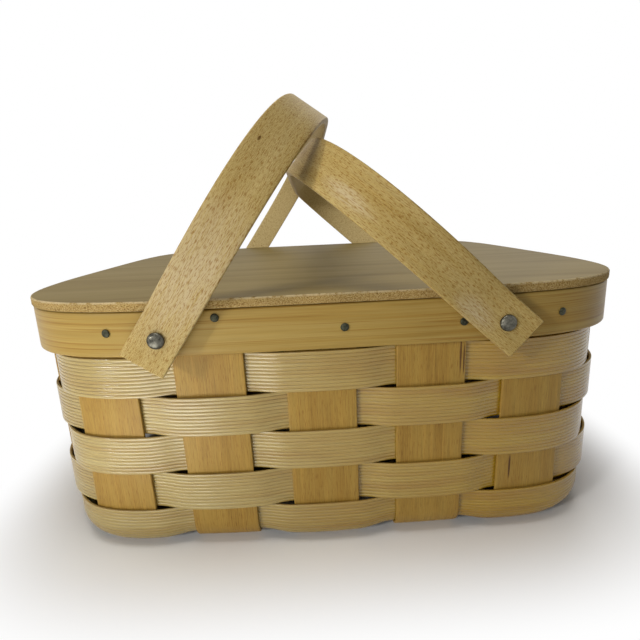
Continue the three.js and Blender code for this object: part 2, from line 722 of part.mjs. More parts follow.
function addLid() {
  addMesh('lid_board', lidGeometry(), MATERIAL.lid);
  addBatten('lid_batten_left', -BATTEN_OFFSET);
  addBatten('lid_batten_right', BATTEN_OFFSET);
  SCREW_PLACES.forEach(([x, y], i) => {
    const screw = addMesh(`batten_screw_${i + 1}`, screwGeometry(), MATERIAL.screw);
    screw.position.set(x, y, 0);
  });
}

addStakes();
addWeavers();
addHoops();
addNails();
addHandle('left', LEFT_HANDLE);
addHandle('right', RIGHT_HANDLE);
addLid();

export default basket;
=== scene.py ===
"""Dressed picnic basket: woven splints, rim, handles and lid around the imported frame."""
import math

import bpy
import numpy as np
from mathutils import Matrix, Vector


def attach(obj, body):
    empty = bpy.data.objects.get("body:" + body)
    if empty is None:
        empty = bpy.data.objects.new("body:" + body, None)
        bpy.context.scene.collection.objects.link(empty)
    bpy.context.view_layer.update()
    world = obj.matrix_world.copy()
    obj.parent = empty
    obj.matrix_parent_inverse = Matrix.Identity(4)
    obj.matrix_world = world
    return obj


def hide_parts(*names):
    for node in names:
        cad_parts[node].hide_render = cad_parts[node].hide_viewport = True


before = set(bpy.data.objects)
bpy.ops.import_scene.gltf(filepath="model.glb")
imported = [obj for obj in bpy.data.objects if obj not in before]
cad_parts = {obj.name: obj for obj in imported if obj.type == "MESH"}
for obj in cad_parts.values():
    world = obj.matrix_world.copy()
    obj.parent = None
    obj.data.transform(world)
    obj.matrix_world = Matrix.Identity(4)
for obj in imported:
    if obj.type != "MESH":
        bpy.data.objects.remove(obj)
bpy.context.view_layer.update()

# Sizes are in millimetres and the same as the solids'; MM turns them into metres
MM = 0.001

# Basket: half widths at the lid and the rim, roundness of the plan, lean of the walls, fuller corners
LID_HALF = 200.0
WALL_HALF = 192.5
PLAN_EXPONENT = 4.5
PLAN_POINTS = 8001
FRONT_POINTS = 2001
RIM_TOP = 158.0
WALL_TAPER = 0.0326
BEND_RADIUS = 16.0
CORNER_FILL_TOP = 2.5
CORNER_FILL_FOOT = 7.5
CORNER_FILL_REACH = 75.0
FIT_GAP = 0.3
WEAVE_GAP = 0.35

# Stakes: flat splints down one wall, across the base and up the far wall
STAKES_PER_SIDE = 5
STAKE_WIDTH = 41.0
STAKE_THICKNESS = 1.8
STAKE_PITCH = 64.6
STAKE_SHIFT = -5.3
STAKE_TOP_DROP = 1.5
# Distance from a stake's edge, and what is taken off each face there
STAKE_EDGE = ((0.0, 0.5), (0.12, 0.22), (0.4, 0.06), (1.0, 0.0))
STAKE_FLAT_HALF = 16.0
STAKE_FLAT_POINTS = 9
STAKE_WALL_POINTS = 24
STAKE_BEND_POINTS = 11
STAKE_BASE_POINTS = 82
STAKE_GRAIN_STEP = 41.0
# Sides that a stake joins, the axis it runs along, its first step at the base,
# and its first grain number
STAKE_KINDS = {
    "cross": {"near": "front", "far": "back", "axis": 1, "first_step": -1, "grain": 5.0},
    "long": {"near": "left", "far": "right", "axis": 0, "first_step": 1, "grain": 300.0},
}

# Weavers: splints woven round the stakes, with ridges along them
WEAVER_ROWS = 5
WEAVER_THICKNESS = 1.5
WEAVER_PITCH = 25.3
WEAVER_WIDTH = 24.8
WEAVER_CROWN = 0.6
WEAVER_PLATEAU = 0.8
WEAVER_EDGE_EASE = 0.3
WEAVER_BACK_INSET = 0.15
WEAVER_BACK_POINTS = 8
WEAVER_STATIONS = 420
WEAVER_GRAIN_STEP = 37.0
FIRST_ROW_DROP = 28.0
RIDGES = 11
RIDGE_DEPTH = 0.3
# Share of a ridge's pitch, and share of the groove's depth there
RIDGE_PROFILE = ((0.0, 1.0), (0.09, 0.35), (0.2, 0.05), (0.5, 0.0), (0.8, 0.05), (0.91, 0.35))
# Ridges are deepest left of the middle of the front and of the back, by this share of a side,
# and fade from there
COARSE_SHIFT = 0.25
COARSE_MIDDLE = 0.8
COARSE_SWING = 0.55
# Ripples: number of waves round the basket, and height
RIDGE_RIPPLE = (12, 0.8)
WEAVER_RIPPLE = (5, 0.5)
HOOP_RIPPLE = (14, 0.25)
RIPPLE_SIZES = (0.3, 1.0)

# Rim hoops and the nails through them; the front nails are where the photo has them
HOOP_HEIGHT = 26.0
OUTER_HOOP_THICKNESS = 5.5
INNER_HOOP_THICKNESS = 4.5
HOOP_ROUNDING = 1.1
HOOP_FILLS = (1, 7)
HOOP_FACE_RIPPLE = 0.5
HOOP_STATIONS = 320
NAIL_HEAD_RADIUS = 2.4
NAIL_HEAD_HEIGHT = 0.9
NAIL_HEAD_STEPS = 7
NAIL_SHANK_RADIUS = 0.8
NAIL_INNER_BITE = 3.0
NAIL_SIDES = 20
NAIL_DROP = 12.5
FRONT_NAIL_SHIFTS = (12.0, 8.0, 14.0, 16.0, 9.0)
FRONT_NAIL_DROPS = (11.6, 4.6, 13.5, 13.9, 12.7)

# Handles: bent strips that lean from rivets through the rim
HANDLE_WIDTH = 26.3
HANDLE_THICKNESS = 4.0
HANDLE_ROUNDING = 0.9
HANDLE_FILLS = (7, 1)
HANDLE_INNER_FACE = 202.5
HANDLE_SPLAY_START = 11.0
HANDLE_BEND_START = 26.0
PIVOT_DROP = 14.0
HANDLES = {
    "left": {"pivot": -92.4, "lean": math.radians(34.8), "tail": 17.2, "reach": 161.0, "splay": 0.1,
             "bar_half": 80.0, "leg_pull": 68.0, "bar_pull": 126.0, "grain": 500.0},
    "right": {"pivot": 96.5, "lean": math.radians(-47.8), "tail": 14.9, "reach": 147.4, "splay": 0.2,
              "bar_half": 122.0, "leg_pull": 80.0, "bar_pull": 66.0, "grain": 600.0},
}
# Points along a handle: a ring close to the tail's end, the plain tail, the splayed leg,
# the bend and the bar
HANDLE_END_RING = 0.5
HANDLE_TAIL_POINTS = 6
HANDLE_TAIL_CLEAR = 4.0
HANDLE_LEG_CLEAR = 6.0
HANDLE_BEND_POINTS = 44
HANDLE_BAR_POINTS = 14
# Grain across a handle runs on round its edges, and its number is higher on the inner side
HANDLE_EDGE_GRAIN = 0.6
HANDLE_INNER_STEP = 10.0
HANDLE_GRAIN_SPAN = 100.0

RIVET_SHANK_RADIUS = 1.6
RIVET_HEAD_RADIUS = 4.7
RIVET_HEAD_HEIGHT = 2.6
RIVET_HEAD_STEPS = 10
RIVET_PEEN_RADIUS = 3.4
RIVET_PEEN_HEIGHT = 1.5
RIVET_PEEN_SHOULDER = 1.0
RIVET_PEEN_EASE = 0.4
RIVET_SIDES = 32
BURR_RADIUS = 5.0
BURR_HEIGHT = 1.0
# Turned heads: angle left open at the crown, share of the height at the edge,
# share of the radius at the seat
DOME_OPENING = 0.04
DOME_EDGE = 0.12
DOME_SEAT = 0.985
TIP_RADIUS = 0.05

# Lid: a board with rounded edges and small chips
LID_THICKNESS = 5.5
LID_ROUNDING = 0.7
LID_ROUNDING_STEP = 0.3
LID_EDGE_LOW = 2.0
LID_EDGE_HIGH = 2.2
LID_CHIPS = (-0.25, 0.05)
LID_STATIONS = 480

CORNER_STEPS = 3
SEED = 11

HOOP_SEAT = STAKE_THICKNESS / 2 + WEAVE_GAP
OUTER_HOOP_FACE = HOOP_SEAT + OUTER_HOOP_THICKNESS
INNER_HOOP_FACE = -HOOP_SEAT - INNER_HOOP_THICKNESS
HOOPS = {
    "rim_outside": {"node": "outer_rim_hoop", "low": HOOP_SEAT, "high": OUTER_HOOP_FACE, "grain": 700.0},
    "rim_inside": {"node": "inner_rim_hoop", "low": INNER_HOOP_FACE, "high": -HOOP_SEAT, "grain": 800.0},
}
WEAVE_OFFSET = (STAKE_THICKNESS + WEAVER_THICKNESS) / 2 + WEAVE_GAP
BASE_OFFSET = (STAKE_THICKNESS + WEAVE_GAP) / 2
BASE_MIDDLE = BASE_OFFSET + STAKE_THICKNESS / 2
WALL_DROP = RIM_TOP - BASE_MIDDLE - BEND_RADIUS * (1 - math.sin(WALL_TAPER))
WALL_RUN = WALL_DROP / math.cos(WALL_TAPER)
BEND_RUN = BEND_RADIUS * (math.pi / 2 - WALL_TAPER)
FOOT_RUN = WALL_RUN + BEND_RUN
PIVOT_HEIGHT = RIM_TOP - PIVOT_DROP
LID_UNDER = RIM_TOP + FIT_GAP
LID_OVER = LID_UNDER + LID_THICKNESS

# Camera fitted to the photograph: angles in radians, place in millimetres, lens on a 36 mm sensor
CAMERA_YAW = 0.0242
CAMERA_PITCH = 0.2317
CAMERA_ROLL = -0.045
CAMERA_PLACE = (-10.54, -437.56, RIM_TOP + 47.29)
CAMERA_LENS = 25.148
CAMERA_SENSOR = 36.0
CAMERA_NEAR = 0.01

# Lamps: place, aim and size in metres, power in watts, colour
DAYLIGHT = (1.0, 0.98, 0.95)
LAMPS = {
    "window": {"place": (-0.19, -0.76, 0.185), "aim": (-0.03, -0.15, 0.15), "size": (0.32, 0.36),
               "power": 0.4, "color": DAYLIGHT},
    "card": {"place": (-0.2, -0.37, 0.006), "aim": (-0.2, -0.37, 1.0), "size": (0.18, 0.2),
             "power": 0.62, "color": (1.0, 0.99, 0.97)},
    "ceiling": {"place": (-0.1, -0.3, 0.75), "aim": (0.0, 0.1, 0.2), "size": (0.3, 0.3),
                "power": 1.7, "color": (1.0, 0.97, 0.92)},
    "room": {"place": (-1.25, -1.2, 0.62), "aim": (0.0, 0.0, 0.15), "size": (0.22, 0.22),
             "power": 11.0, "color": DAYLIGHT},
    "back": {"place": (0.8, 1.1, 1.1), "aim": (0.0, 0.0, 0.12), "size": (0.6, 0.6),
             "power": 4.5, "color": DAYLIGHT},
}
WORLD_LIGHT = 0.14
WHITE = (1.0, 1.0, 1.0, 1.0)

# Floor: half its side, its drop below the basket, and the reach over which it fades to white, in metres
FLOOR_HALF = 3.0
FLOOR_DROP = 0.0005
FLOOR_FADE = (0.19, 0.27)
FLOOR_COLOR = (0.93, 0.93, 0.93, 1.0)
FLOOR_ROUGHNESS = 0.9

# Looks of the materials. A noise is its cells per millimetre along the grain, across it and by the strip's
# number, then its octaves and their roughness. Tones and shares in pairs are a noise value with a colour,
# grey or share. A relief is the depth of the bump in metres and its strength.
WEAVER_ROUGHNESS = 0.2
WEAVER_GROOVE_ROUGHNESS = 0.7
WEAVER_SPECULAR = 0.7
WEAVER_BROAD = ((0.012, 0.16, 1.0), 3.0, 0.55)
WEAVER_TONES = ((0.3, (0.425, 0.334, 0.125)), (0.5, (0.38, 0.278, 0.085)), (0.72, (0.33, 0.214, 0.05)))
WEAVER_GROOVE_WAVE = (0.6, 0.95)
# Painted light and shade: weavers are painted palest, as if lit, at the front left corner and the one
# across from it, and a deep golden brown, as if in shade, at the other two
PAINTED_LIGHT_SHIFT = 0.5
PAINTED_LIGHT_WAVE = (-0.8, 0.6)
PAINTED_LIGHT_SHARE = (0.3, 1.0)
WEAVER_PAINTED_SHADE_TINT = (0.96, 0.78, 0.18)
WEAVER_PATCH = ((0.008, 0.05, 1.0), 2.0, 0.55)
WEAVER_PATCH_RANGE = (0.3, 0.65)
WEAVER_PATCH_SHARE = (0.2, 0.95)
# Colour of the dark lines in the grooves: partly grain, partly painted shade in the grooves
WEAVER_GROOVE_LINE_AND_SHADE_COLOR = (0.6, 0.52, 0.4)
WEAVER_FIBRE = ((0.06, 2.4, 1.0), 4.0, 0.6)
WEAVER_FIBRE_SHARE = 0.6
WEAVER_FIBRE_TONES = ((0.3, 0.78), (0.65, 1.08))
WEAVER_RELIEF = (0.00008, 0.8)

STAKE_ROUGHNESS = 0.5
STAKE_SPECULAR = 0.3
STAKE_BROAD = ((0.01, 0.1, 1.0), 3.0, 0.55)
STAKE_TONES = ((0.3, (0.39, 0.248, 0.048)), (0.55, (0.345, 0.203, 0.035)), (0.75, (0.3, 0.166, 0.024)))
STAKE_FIBRE = ((0.035, 1.5, 1.0), 4.0, 0.65)
STAKE_FIBRE_SHARE = 0.85
STAKE_FIBRE_TONES = ((0.32, 0.7), (0.5, 0.97), (0.7, 1.12))
STAKE_STREAK = ((0.008, 0.5, 1.0), 2.0, 0.5)
STAKE_STREAK_SHARES = ((0.55, 0.0), (0.72, 0.4))
STAKE_STREAK_COLOR = (0.48, 0.28, 0.05)
STAKE_FLECK = ((0.16, 2.3, 1.0), 2.0, 0.5)
STAKE_FLECK_SHARES = ((0.56, 0.0), (0.68, 0.8))
STAKE_FLECK_COLOR = (0.66, 0.52, 0.4)
# Cracks, as the middle and the reach in the grain: along it, across it and by the stake's number
FOURTH_STAKE = STAKE_KINDS["cross"]["grain"] + 3 * STAKE_GRAIN_STEP
FIFTH_STAKE = STAKE_KINDS["cross"]["grain"] + 4 * STAKE_GRAIN_STEP
STAKE_CRACKS = (
    ((34.0, 17.2, FOURTH_STAKE), (14.0, 0.7, 2.0)),
    ((37.0, 19.2, FOURTH_STAKE), (11.0, 0.6, 2.0)),
    ((112.0, -12.0, FIFTH_STAKE), (10.0, 0.8, 2.0)),
)
STAKE_CRACK_SHARES = ((0.0, 0.0), (0.7, 0.9))
STAKE_CRACK_COLOR = (0.22, 0.13, 0.07)
STAKE_RELIEF = (0.00012, 0.8)

RIM_ROUGHNESS = 0.38
RIM_SPECULAR = 0.16
RIM_BROAD = ((0.005, 0.22, 1.0), 4.0, 0.6)
RIM_TONES = ((0.3, (0.4, 0.282, 0.082)), (0.5, (0.36, 0.238, 0.06)),
             (0.64, (0.322, 0.195, 0.04)), (0.8, (0.295, 0.162, 0.029)))
RIM_LINE = ((0.0035, 0.5, 1.0), 2.0, 0.4)
RIM_LINE_SHARES = ((0.55, 0.0), (0.585, 0.75), (0.62, 0.0))
RIM_LINE_COLOR = (0.72, 0.56, 0.38)
RIM_FIBRE = ((0.02, 1.6, 1.0), 4.0, 0.6)
RIM_FIBRE_SHARE = 0.6
RIM_FIBRE_TONES = ((0.3, 0.76), (0.65, 1.08))
RIM_RELIEF = (0.00008, 0.7)

HANDLE_ROUGHNESS = 0.45
HANDLE_SPECULAR = 0.05
HANDLE_BROAD = ((0.012, 0.12, 1.0), 3.0, 0.55)
HANDLE_TONES = ((0.3, (0.46, 0.345, 0.135)), (0.52, (0.41, 0.295, 0.1)), (0.75, (0.355, 0.235, 0.066)))
HANDLE_FIBRE = ((0.03, 1.3, 1.0), 4.0, 0.6)
HANDLE_FIBRE_SHARE = 0.6
HANDLE_FIBRE_TONES = ((0.3, 0.74), (0.65, 1.1))
# Paler colour of the inner face: painted light, a painted sheen on the back legs that also lightens the
# shaded inner sides
HANDLE_INNER_PAINTED_LIGHT_COLOR = (0.66, 0.53, 0.26)
# Pale worn places, partly real and partly painted sheen, and a knot, as the middle and the reach in the
# grain: along it, across it and by the number
HANDLE_WEAR_AND_SHEEN = (
    ((58.0, 0.0, HANDLES["left"]["grain"]), (52.0, 30.0, 5.0)),
    ((126.0, -4.0, HANDLES["right"]["grain"]), (22.0, 6.0, 5.0)),
    ((34.0, -6.0, HANDLES["right"]["grain"]), (18.0, 8.0, 5.0)),
)
# Noise, range and colour of the pale worn places, partly painted sheen
HANDLE_WEAR_AND_SHEEN_NOISE = ((0.05, 1.1, 1.0), 3.0, 0.6)
HANDLE_WEAR_AND_SHEEN_RANGE = (0.3, 0.66)
HANDLE_WEAR_AND_SHEEN_COLOR = (0.5, 0.4, 0.225)
HANDLE_FLECK = ((0.34, 2.0, 1.0), 2.0, 0.5)
HANDLE_FLECK_SHARES = ((0.52, 0.0), (0.62, 0.85))
HANDLE_FLECK_COLOR = (0.62, 0.46, 0.31)
HANDLE_KNOT = ((136.0, -5.8, HANDLES["left"]["grain"]), (1.9, 0.9, 5.0))
HANDLE_KNOT_SHARES = ((0.1, 0.0), (0.6, 0.9))
HANDLE_KNOT_COLOR = (0.3, 0.2, 0.13)
HANDLE_RELIEF = (0.0001, 0.4)

LID_ROUGHNESS = 0.5
LID_SPECULAR = 0.04
LID_BROAD = ((0.004, 0.05, 0.05), 4.0, 0.6)
LID_TONES = ((0.3, (0.295, 0.22, 0.08)), (0.5, (0.262, 0.192, 0.063)), (0.7, (0.215, 0.149, 0.041)))
LID_FIBRE = ((0.02, 1.0, 1.0), 4.0, 0.6)
LID_FIBRE_SHARE = 0.5
LID_FIBRE_TONES = ((0.3, 0.82), (0.65, 1.06))
LID_RELIEF = (0.00005, 0.6)

EDGE_ROUGHNESS = 0.75
EDGE_SPECULAR = 0.15
EDGE_SPECK = ((1.4, 1.4, 1.7), 3.0, 0.6)
EDGE_TONES = ((0.32, (0.15, 0.085, 0.024)), (0.45, (0.31, 0.195, 0.06)),
              (0.55, (0.4, 0.28, 0.1)), (0.68, (0.5, 0.38, 0.18)))
# Heights below the lid's top between which the painted highlight, a pale line along its edge, comes up
EDGE_PAINTED_HIGHLIGHT = (1.3, 0.5)
EDGE_PAINTED_HIGHLIGHT_NOISE = ((0.35, 0.35, 0.4), 3.0, 0.6)
EDGE_PAINTED_HIGHLIGHT_RANGE = (0.38, 0.52)
EDGE_PAINTED_HIGHLIGHT_SHARE = (0.0, 0.75)
EDGE_PAINTED_HIGHLIGHT_COLOR = (0.6, 0.49, 0.29)
EDGE_BROAD = ((0.03, 0.03, 0.1), 2.0, 0.55)
EDGE_BROAD_SHARE = 0.6
EDGE_BROAD_TONES = ((0.35, 0.75), (0.65, 1.1))
EDGE_RELIEF = (0.0004, 1.0)

# Battens and metals have no grain of their own, so their noise is in cells per metre
BATTEN_ROUGHNESS = 0.6
BATTEN_SPECULAR = 0.3
BATTEN_FIBRE = ((900.0, 25.0, 900.0), 4.0, 0.6)
BATTEN_TONES = ((0.3, (0.34, 0.21, 0.07)), (0.65, (0.5, 0.34, 0.13)))
BATTEN_RELIEF = (0.0001, 0.6)
METALS = {
    "nail_metal": {"dark": (0.02, 0.021, 0.013), "pale": (0.065, 0.066, 0.045),
                   "roughness": 0.5, "cells": 900.0},
    "rivet_metal": {"dark": (0.05, 0.048, 0.038), "pale": (0.13, 0.124, 0.1),
                    "roughness": 0.34, "cells": 600.0},
    "screw_metal": {"dark": (0.35, 0.25, 0.09), "pale": (0.5, 0.38, 0.16),
                    "roughness": 0.35, "cells": 700.0},
}
METAL_SPECULAR = 0.5
METAL_STAIN = (0.35, 0.65)
METAL_STAIN_RANGE = (0.3, 0.7)
METAL_STAIN_DETAIL = (4.0, 0.6)
METAL_ROUGHNESS_SWING = (-0.1, 0.12)
METAL_RELIEF = (0.00004, 0.5)

seeded = np.random.default_rng(SEED)


# Shader nodes

def connect(tree, value, socket):
    """Link a socket to another one, or set it to a plain value."""
    if isinstance(value, bpy.types.NodeSocket):
        tree.links.new(value, socket)
    else:
        socket.default_value = value


def add(tree, kind, values=None, **settings):
    """New node with its settings and the values of its inputs."""
    node = tree.nodes.new(kind)
    for key, value in settings.items():
        setattr(node, key, value)
    for key, value in (values or {}).items():
        connect(tree, value, node.inputs[key])
    return node


def calculate(tree, operation, *values):
    """Result of a math node."""
    return add(tree, "ShaderNodeMath", dict(enumerate(values)), operation=operation).outputs[0]


def vector_math(tree, operation, *values):
    """Node for a calculation on vectors."""
    return add(tree, "ShaderNodeVectorMath", dict(enumerate(values)), operation=operation)


def axis_of(tree, vector, axis):
    """One axis of a vector."""
    return add(tree, "ShaderNodeSeparateXYZ", {0: vector}).outputs[axis]


def map_range(tree, value, source, target=(0.0, 1.0), kind="LINEAR"):
    """Value carried from one range to another, and held at its ends."""
    values = {"Value": value, "From Min": source[0], "From Max": source[1],
              "To Min": target[0], "To Max": target[1]}
    return add(tree, "ShaderNodeMapRange", values, interpolation_type=kind).outputs["Result"]


def noise(tree, place, pattern):
    """Noise by its cells along each axis, its octaves and their roughness."""
    cells, octaves, roughness = pattern
    spread = add(tree, "ShaderNodeMapping", {"Vector": place, "Scale": cells}).outputs["Vector"]
    values = {"Vector": spread, "Scale": 1.0, "Detail": octaves, "Roughness": roughness}
    return add(tree, "ShaderNodeTexNoise", values).outputs["Fac"]


def ramp(tree, value, stops):
    """Colours, or greys where a stop is one number, by a value from 0 to 1."""
    node = add(tree, "ShaderNodeValToRGB", {"Fac": value})
    band = node.color_ramp
    while len(band.elements) < len(stops):
        band.elements.new(0.5)
    for element, (position, color) in zip(band.elements, stops):
        element.position = position
        shade = color if isinstance(color, tuple) else (color, color, color)
        element.color = (*shade, 1.0)
    return node.outputs["Color"]


def blend(tree, kind, share, first, second):
    """Second colour laid over the first by a share, mixed or multiplied."""
    over = second if isinstance(second, bpy.types.NodeSocket) else (*second, 1.0)
    # Inputs 6 and 7 are the node's two colours
    node = add(tree, "ShaderNodeMix", {0: share, 6: first, 7: over}, data_type="RGBA", blend_type=kind)
    return node.outputs[2]


def spot(tree, place, middle, reach):
    """Share of 2 at a place in the grain, 1 at half the reach and 0 at the reach; its users stop at 1."""
    away = vector_math(tree, "SUBTRACT", place, middle).outputs["Vector"]
    away = vector_math(tree, "DIVIDE", away, reach).outputs["Vector"]
    away = vector_math(tree, "LENGTH", away).outputs["Value"]
    return map_range(tree, away, (0.0, 1.0), (2.0, 0.0))


def seen_rays(tree):
    """Share of 1 for rays from the camera and for those that show in gloss or through glass."""
    path = tree.nodes.new("ShaderNodeLightPath")
    seen = calculate(tree, "MAXIMUM", path.outputs["Is Camera Ray"], path.outputs["Is Glossy Ray"])
    return calculate(tree, "MAXIMUM", seen, path.outputs["Is Transmission Ray"])


def principled(name, roughness, specular, metallic=0.0):
    """New material with its node tree and shader."""
    mat = bpy.data.materials.new(name)
    mat.use_nodes = True
    shader = mat.node_tree.nodes["Principled BSDF"]
    shader.inputs["Roughness"].default_value = roughness
    shader.inputs["Specular IOR Level"].default_value = specular
    shader.inputs["Metallic"].default_value = metallic
    return mat, mat.node_tree, shader


def finish_shader(tree, shader, color, height, relief):
    """Give a shader its colour and its bump."""
    depth, strength = relief
    tree.links.new(color, shader.inputs["Base Color"])
    node = add(tree, "ShaderNodeBump", {"Height": height, "Distance": depth, "Strength": strength})
    tree.links.new(node.outputs["Normal"], shader.inputs["Normal"])


def grain_coordinates(tree):
    """Millimetres along the grain and across it, then each strip's own number, or the height on the lid."""
    return add(tree, "ShaderNodeAttribute", attribute_name="grain").outputs["Vector"]


def object_coordinates(tree):
    """Metres in the object's own frame."""
    return add(tree, "ShaderNodeTexCoord").outputs["Object"]


# Materials

def weaver_wood():
    """Glossy ash with dark lines in its grooves, partly grain and partly painted shade, painted pale as if
    lit at one corner and darker as if in shade at the next.
    """
    mat, tree, shader = principled("weaver_wood", WEAVER_ROUGHNESS, WEAVER_SPECULAR)
    place = grain_coordinates(tree)
    color = ramp(tree, noise(tree, place, WEAVER_BROAD), WEAVER_TONES)
    phase = calculate(tree, "MULTIPLY", axis_of(tree, place, "Y"), 2 * math.pi * RIDGES / WEAVER_WIDTH)
    groove = map_range(tree, calculate(tree, "COSINE", phase), WEAVER_GROOVE_WAVE)
    rough = map_range(tree, groove, (0.0, 1.0), (WEAVER_ROUGHNESS, WEAVER_GROOVE_ROUGHNESS))
    tree.links.new(rough, shader.inputs["Roughness"])
    # Painted light and shade round the basket: pale as if lit at the front left corner and the one across,
    # darker golden brown as if in shade at the other two
    along = calculate(tree, "ADD", axis_of(tree, place, "X"), QUARTER * PAINTED_LIGHT_SHIFT)
    turn = calculate(tree, "MULTIPLY", along, TWICE_ROUND)
    pale = map_range(tree, calculate(tree, "COSINE", turn), PAINTED_LIGHT_WAVE, PAINTED_LIGHT_SHARE)
    painted_shade_share = map_range(tree, pale, PAINTED_LIGHT_SHARE, (1.0, 0.0))
    color = blend(tree, "MULTIPLY", painted_shade_share, color, WEAVER_PAINTED_SHADE_TINT)
    # Dark lines in the grooves: partly grain, partly painted shade in the grooves, strongest at the corners
    # with painted light
    patch = map_range(tree, noise(tree, place, WEAVER_PATCH), WEAVER_PATCH_RANGE, WEAVER_PATCH_SHARE)
    lines = calculate(tree, "MULTIPLY", calculate(tree, "MULTIPLY", groove, patch), pale)
    color = blend(tree, "MULTIPLY", lines, color, WEAVER_GROOVE_LINE_AND_SHADE_COLOR)
    fibre = noise(tree, place, WEAVER_FIBRE)
    color = blend(tree, "MULTIPLY", WEAVER_FIBRE_SHARE, color, ramp(tree, fibre, WEAVER_FIBRE_TONES))
    finish_shader(tree, shader, color, fibre, WEAVER_RELIEF)
    return mat


def stake_wood():
    """Darker splint with fine upright grain, short dark flecks and a few cracks."""
    mat, tree, shader = principled("stake_wood", STAKE_ROUGHNESS, STAKE_SPECULAR)
    place = grain_coordinates(tree)
    color = ramp(tree, noise(tree, place, STAKE_BROAD), STAKE_TONES)
    fibre = noise(tree, place, STAKE_FIBRE)
    color = blend(tree, "MULTIPLY", STAKE_FIBRE_SHARE, color, ramp(tree, fibre, STAKE_FIBRE_TONES))
    streak = ramp(tree, noise(tree, place, STAKE_STREAK), STAKE_STREAK_SHARES)
    color = blend(tree, "MIX", streak, color, STAKE_STREAK_COLOR)
    fleck = ramp(tree, noise(tree, place, STAKE_FLECK), STAKE_FLECK_SHARES)
    color = blend(tree, "MULTIPLY", fleck, color, STAKE_FLECK_COLOR)
    for middle, reach in STAKE_CRACKS:
        crack = ramp(tree, spot(tree, place, middle, reach), STAKE_CRACK_SHARES)
        color = blend(tree, "MULTIPLY", crack, color, STAKE_CRACK_COLOR)
    finish_shader(tree, shader, color, fibre, STAKE_RELIEF)
    return mat


def rim_wood():
    """Bent hoop: long pale grain with thin reddish-brown lines."""
    mat, tree, shader = principled("rim_wood", RIM_ROUGHNESS, RIM_SPECULAR)
    place = grain_coordinates(tree)
    color = ramp(tree, noise(tree, place, RIM_BROAD), RIM_TONES)
    line = ramp(tree, noise(tree, place, RIM_LINE), RIM_LINE_SHARES)
    color = blend(tree, "MULTIPLY", line, color, RIM_LINE_COLOR)
    fibre = noise(tree, place, RIM_FIBRE)
    color = blend(tree, "MULTIPLY", RIM_FIBRE_SHARE, color, ramp(tree, fibre, RIM_FIBRE_TONES))
    finish_shader(tree, shader, color, fibre, RIM_RELIEF)
    return mat


def handle_wood():
    """Flecked satin strip, its inner face painted paler as painted light, with pale worn places that are
    partly painted sheen.
    """
    mat, tree, shader = principled("handle_wood", HANDLE_ROUGHNESS, HANDLE_SPECULAR)
    place = grain_coordinates(tree)
    color = ramp(tree, noise(tree, place, HANDLE_BROAD), HANDLE_TONES)
    fibre = noise(tree, place, HANDLE_FIBRE)
    color = blend(tree, "MULTIPLY", HANDLE_FIBRE_SHARE, color, ramp(tree, fibre, HANDLE_FIBRE_TONES))
    # Inner face painted paler: painted sheen and painted light
    inner = calculate(tree, "MODULO", axis_of(tree, place, "Z"), HANDLE_GRAIN_SPAN)
    inner = calculate(tree, "MULTIPLY", inner, 1 / HANDLE_INNER_STEP)
    color = blend(tree, "MIX", inner, color, HANDLE_INNER_PAINTED_LIGHT_COLOR)
    # Pale worn places: partly real, partly painted sheen
    worn_and_sheen_noise = map_range(tree, noise(tree, place, HANDLE_WEAR_AND_SHEEN_NOISE), HANDLE_WEAR_AND_SHEEN_RANGE)
    for middle, reach in HANDLE_WEAR_AND_SHEEN:
        worn_and_sheen_share = calculate(tree, "MULTIPLY", worn_and_sheen_noise, spot(tree, place, middle, reach))
        color = blend(tree, "MIX", worn_and_sheen_share, color, HANDLE_WEAR_AND_SHEEN_COLOR)
    fleck = ramp(tree, noise(tree, place, HANDLE_FLECK), HANDLE_FLECK_SHARES)
    color = blend(tree, "MULTIPLY", fleck, color, HANDLE_FLECK_COLOR)
    knot = ramp(tree, spot(tree, place, *HANDLE_KNOT), HANDLE_KNOT_SHARES)
    color = blend(tree, "MULTIPLY", knot, color, HANDLE_KNOT_COLOR)
    finish_shader(tree, shader, color, fibre, HANDLE_RELIEF)
    return mat


def lid_wood():
    """Grey-brown satin board with grain from side to side."""
    mat, tree, shader = principled("lid_wood", LID_ROUGHNESS, LID_SPECULAR)
    place = grain_coordinates(tree)
    color = ramp(tree, noise(tree, place, LID_BROAD), LID_TONES)
    fibre = noise(tree, place, LID_FIBRE)
    color = blend(tree, "MULTIPLY", LID_FIBRE_SHARE, color, ramp(tree, fibre, LID_FIBRE_TONES))
    finish_shader(tree, shader, color, fibre, LID_RELIEF)
    return mat


def lid_edge_wood():
    """Sawn edge of the board: pale and dark speckle, with a painted highlight along its top, a pale line
    with gaps.
    """
    mat, tree, shader = principled("lid_edge_wood", EDGE_ROUGHNESS, EDGE_SPECULAR)
    place = grain_coordinates(tree)
    speck = noise(tree, place, EDGE_SPECK)
    color = ramp(tree, speck, EDGE_TONES)
    # Painted highlight: a pale line with gaps near the top of the edge
    low, high = (LID_OVER - drop for drop in EDGE_PAINTED_HIGHLIGHT)
    line = map_range(tree, axis_of(tree, place, "Z"), (low, high))
    painted_highlight_share = map_range(tree, noise(tree, place, EDGE_PAINTED_HIGHLIGHT_NOISE), EDGE_PAINTED_HIGHLIGHT_RANGE, EDGE_PAINTED_HIGHLIGHT_SHARE)
    color = blend(tree, "MIX", calculate(tree, "MULTIPLY", line, painted_highlight_share), color, EDGE_PAINTED_HIGHLIGHT_COLOR)
    broad = ramp(tree, noise(tree, place, EDGE_BROAD), EDGE_BROAD_TONES)
    color = blend(tree, "MULTIPLY", EDGE_BROAD_SHARE, color, broad)
    finish_shader(tree, shader, color, speck, EDGE_RELIEF)
    return mat


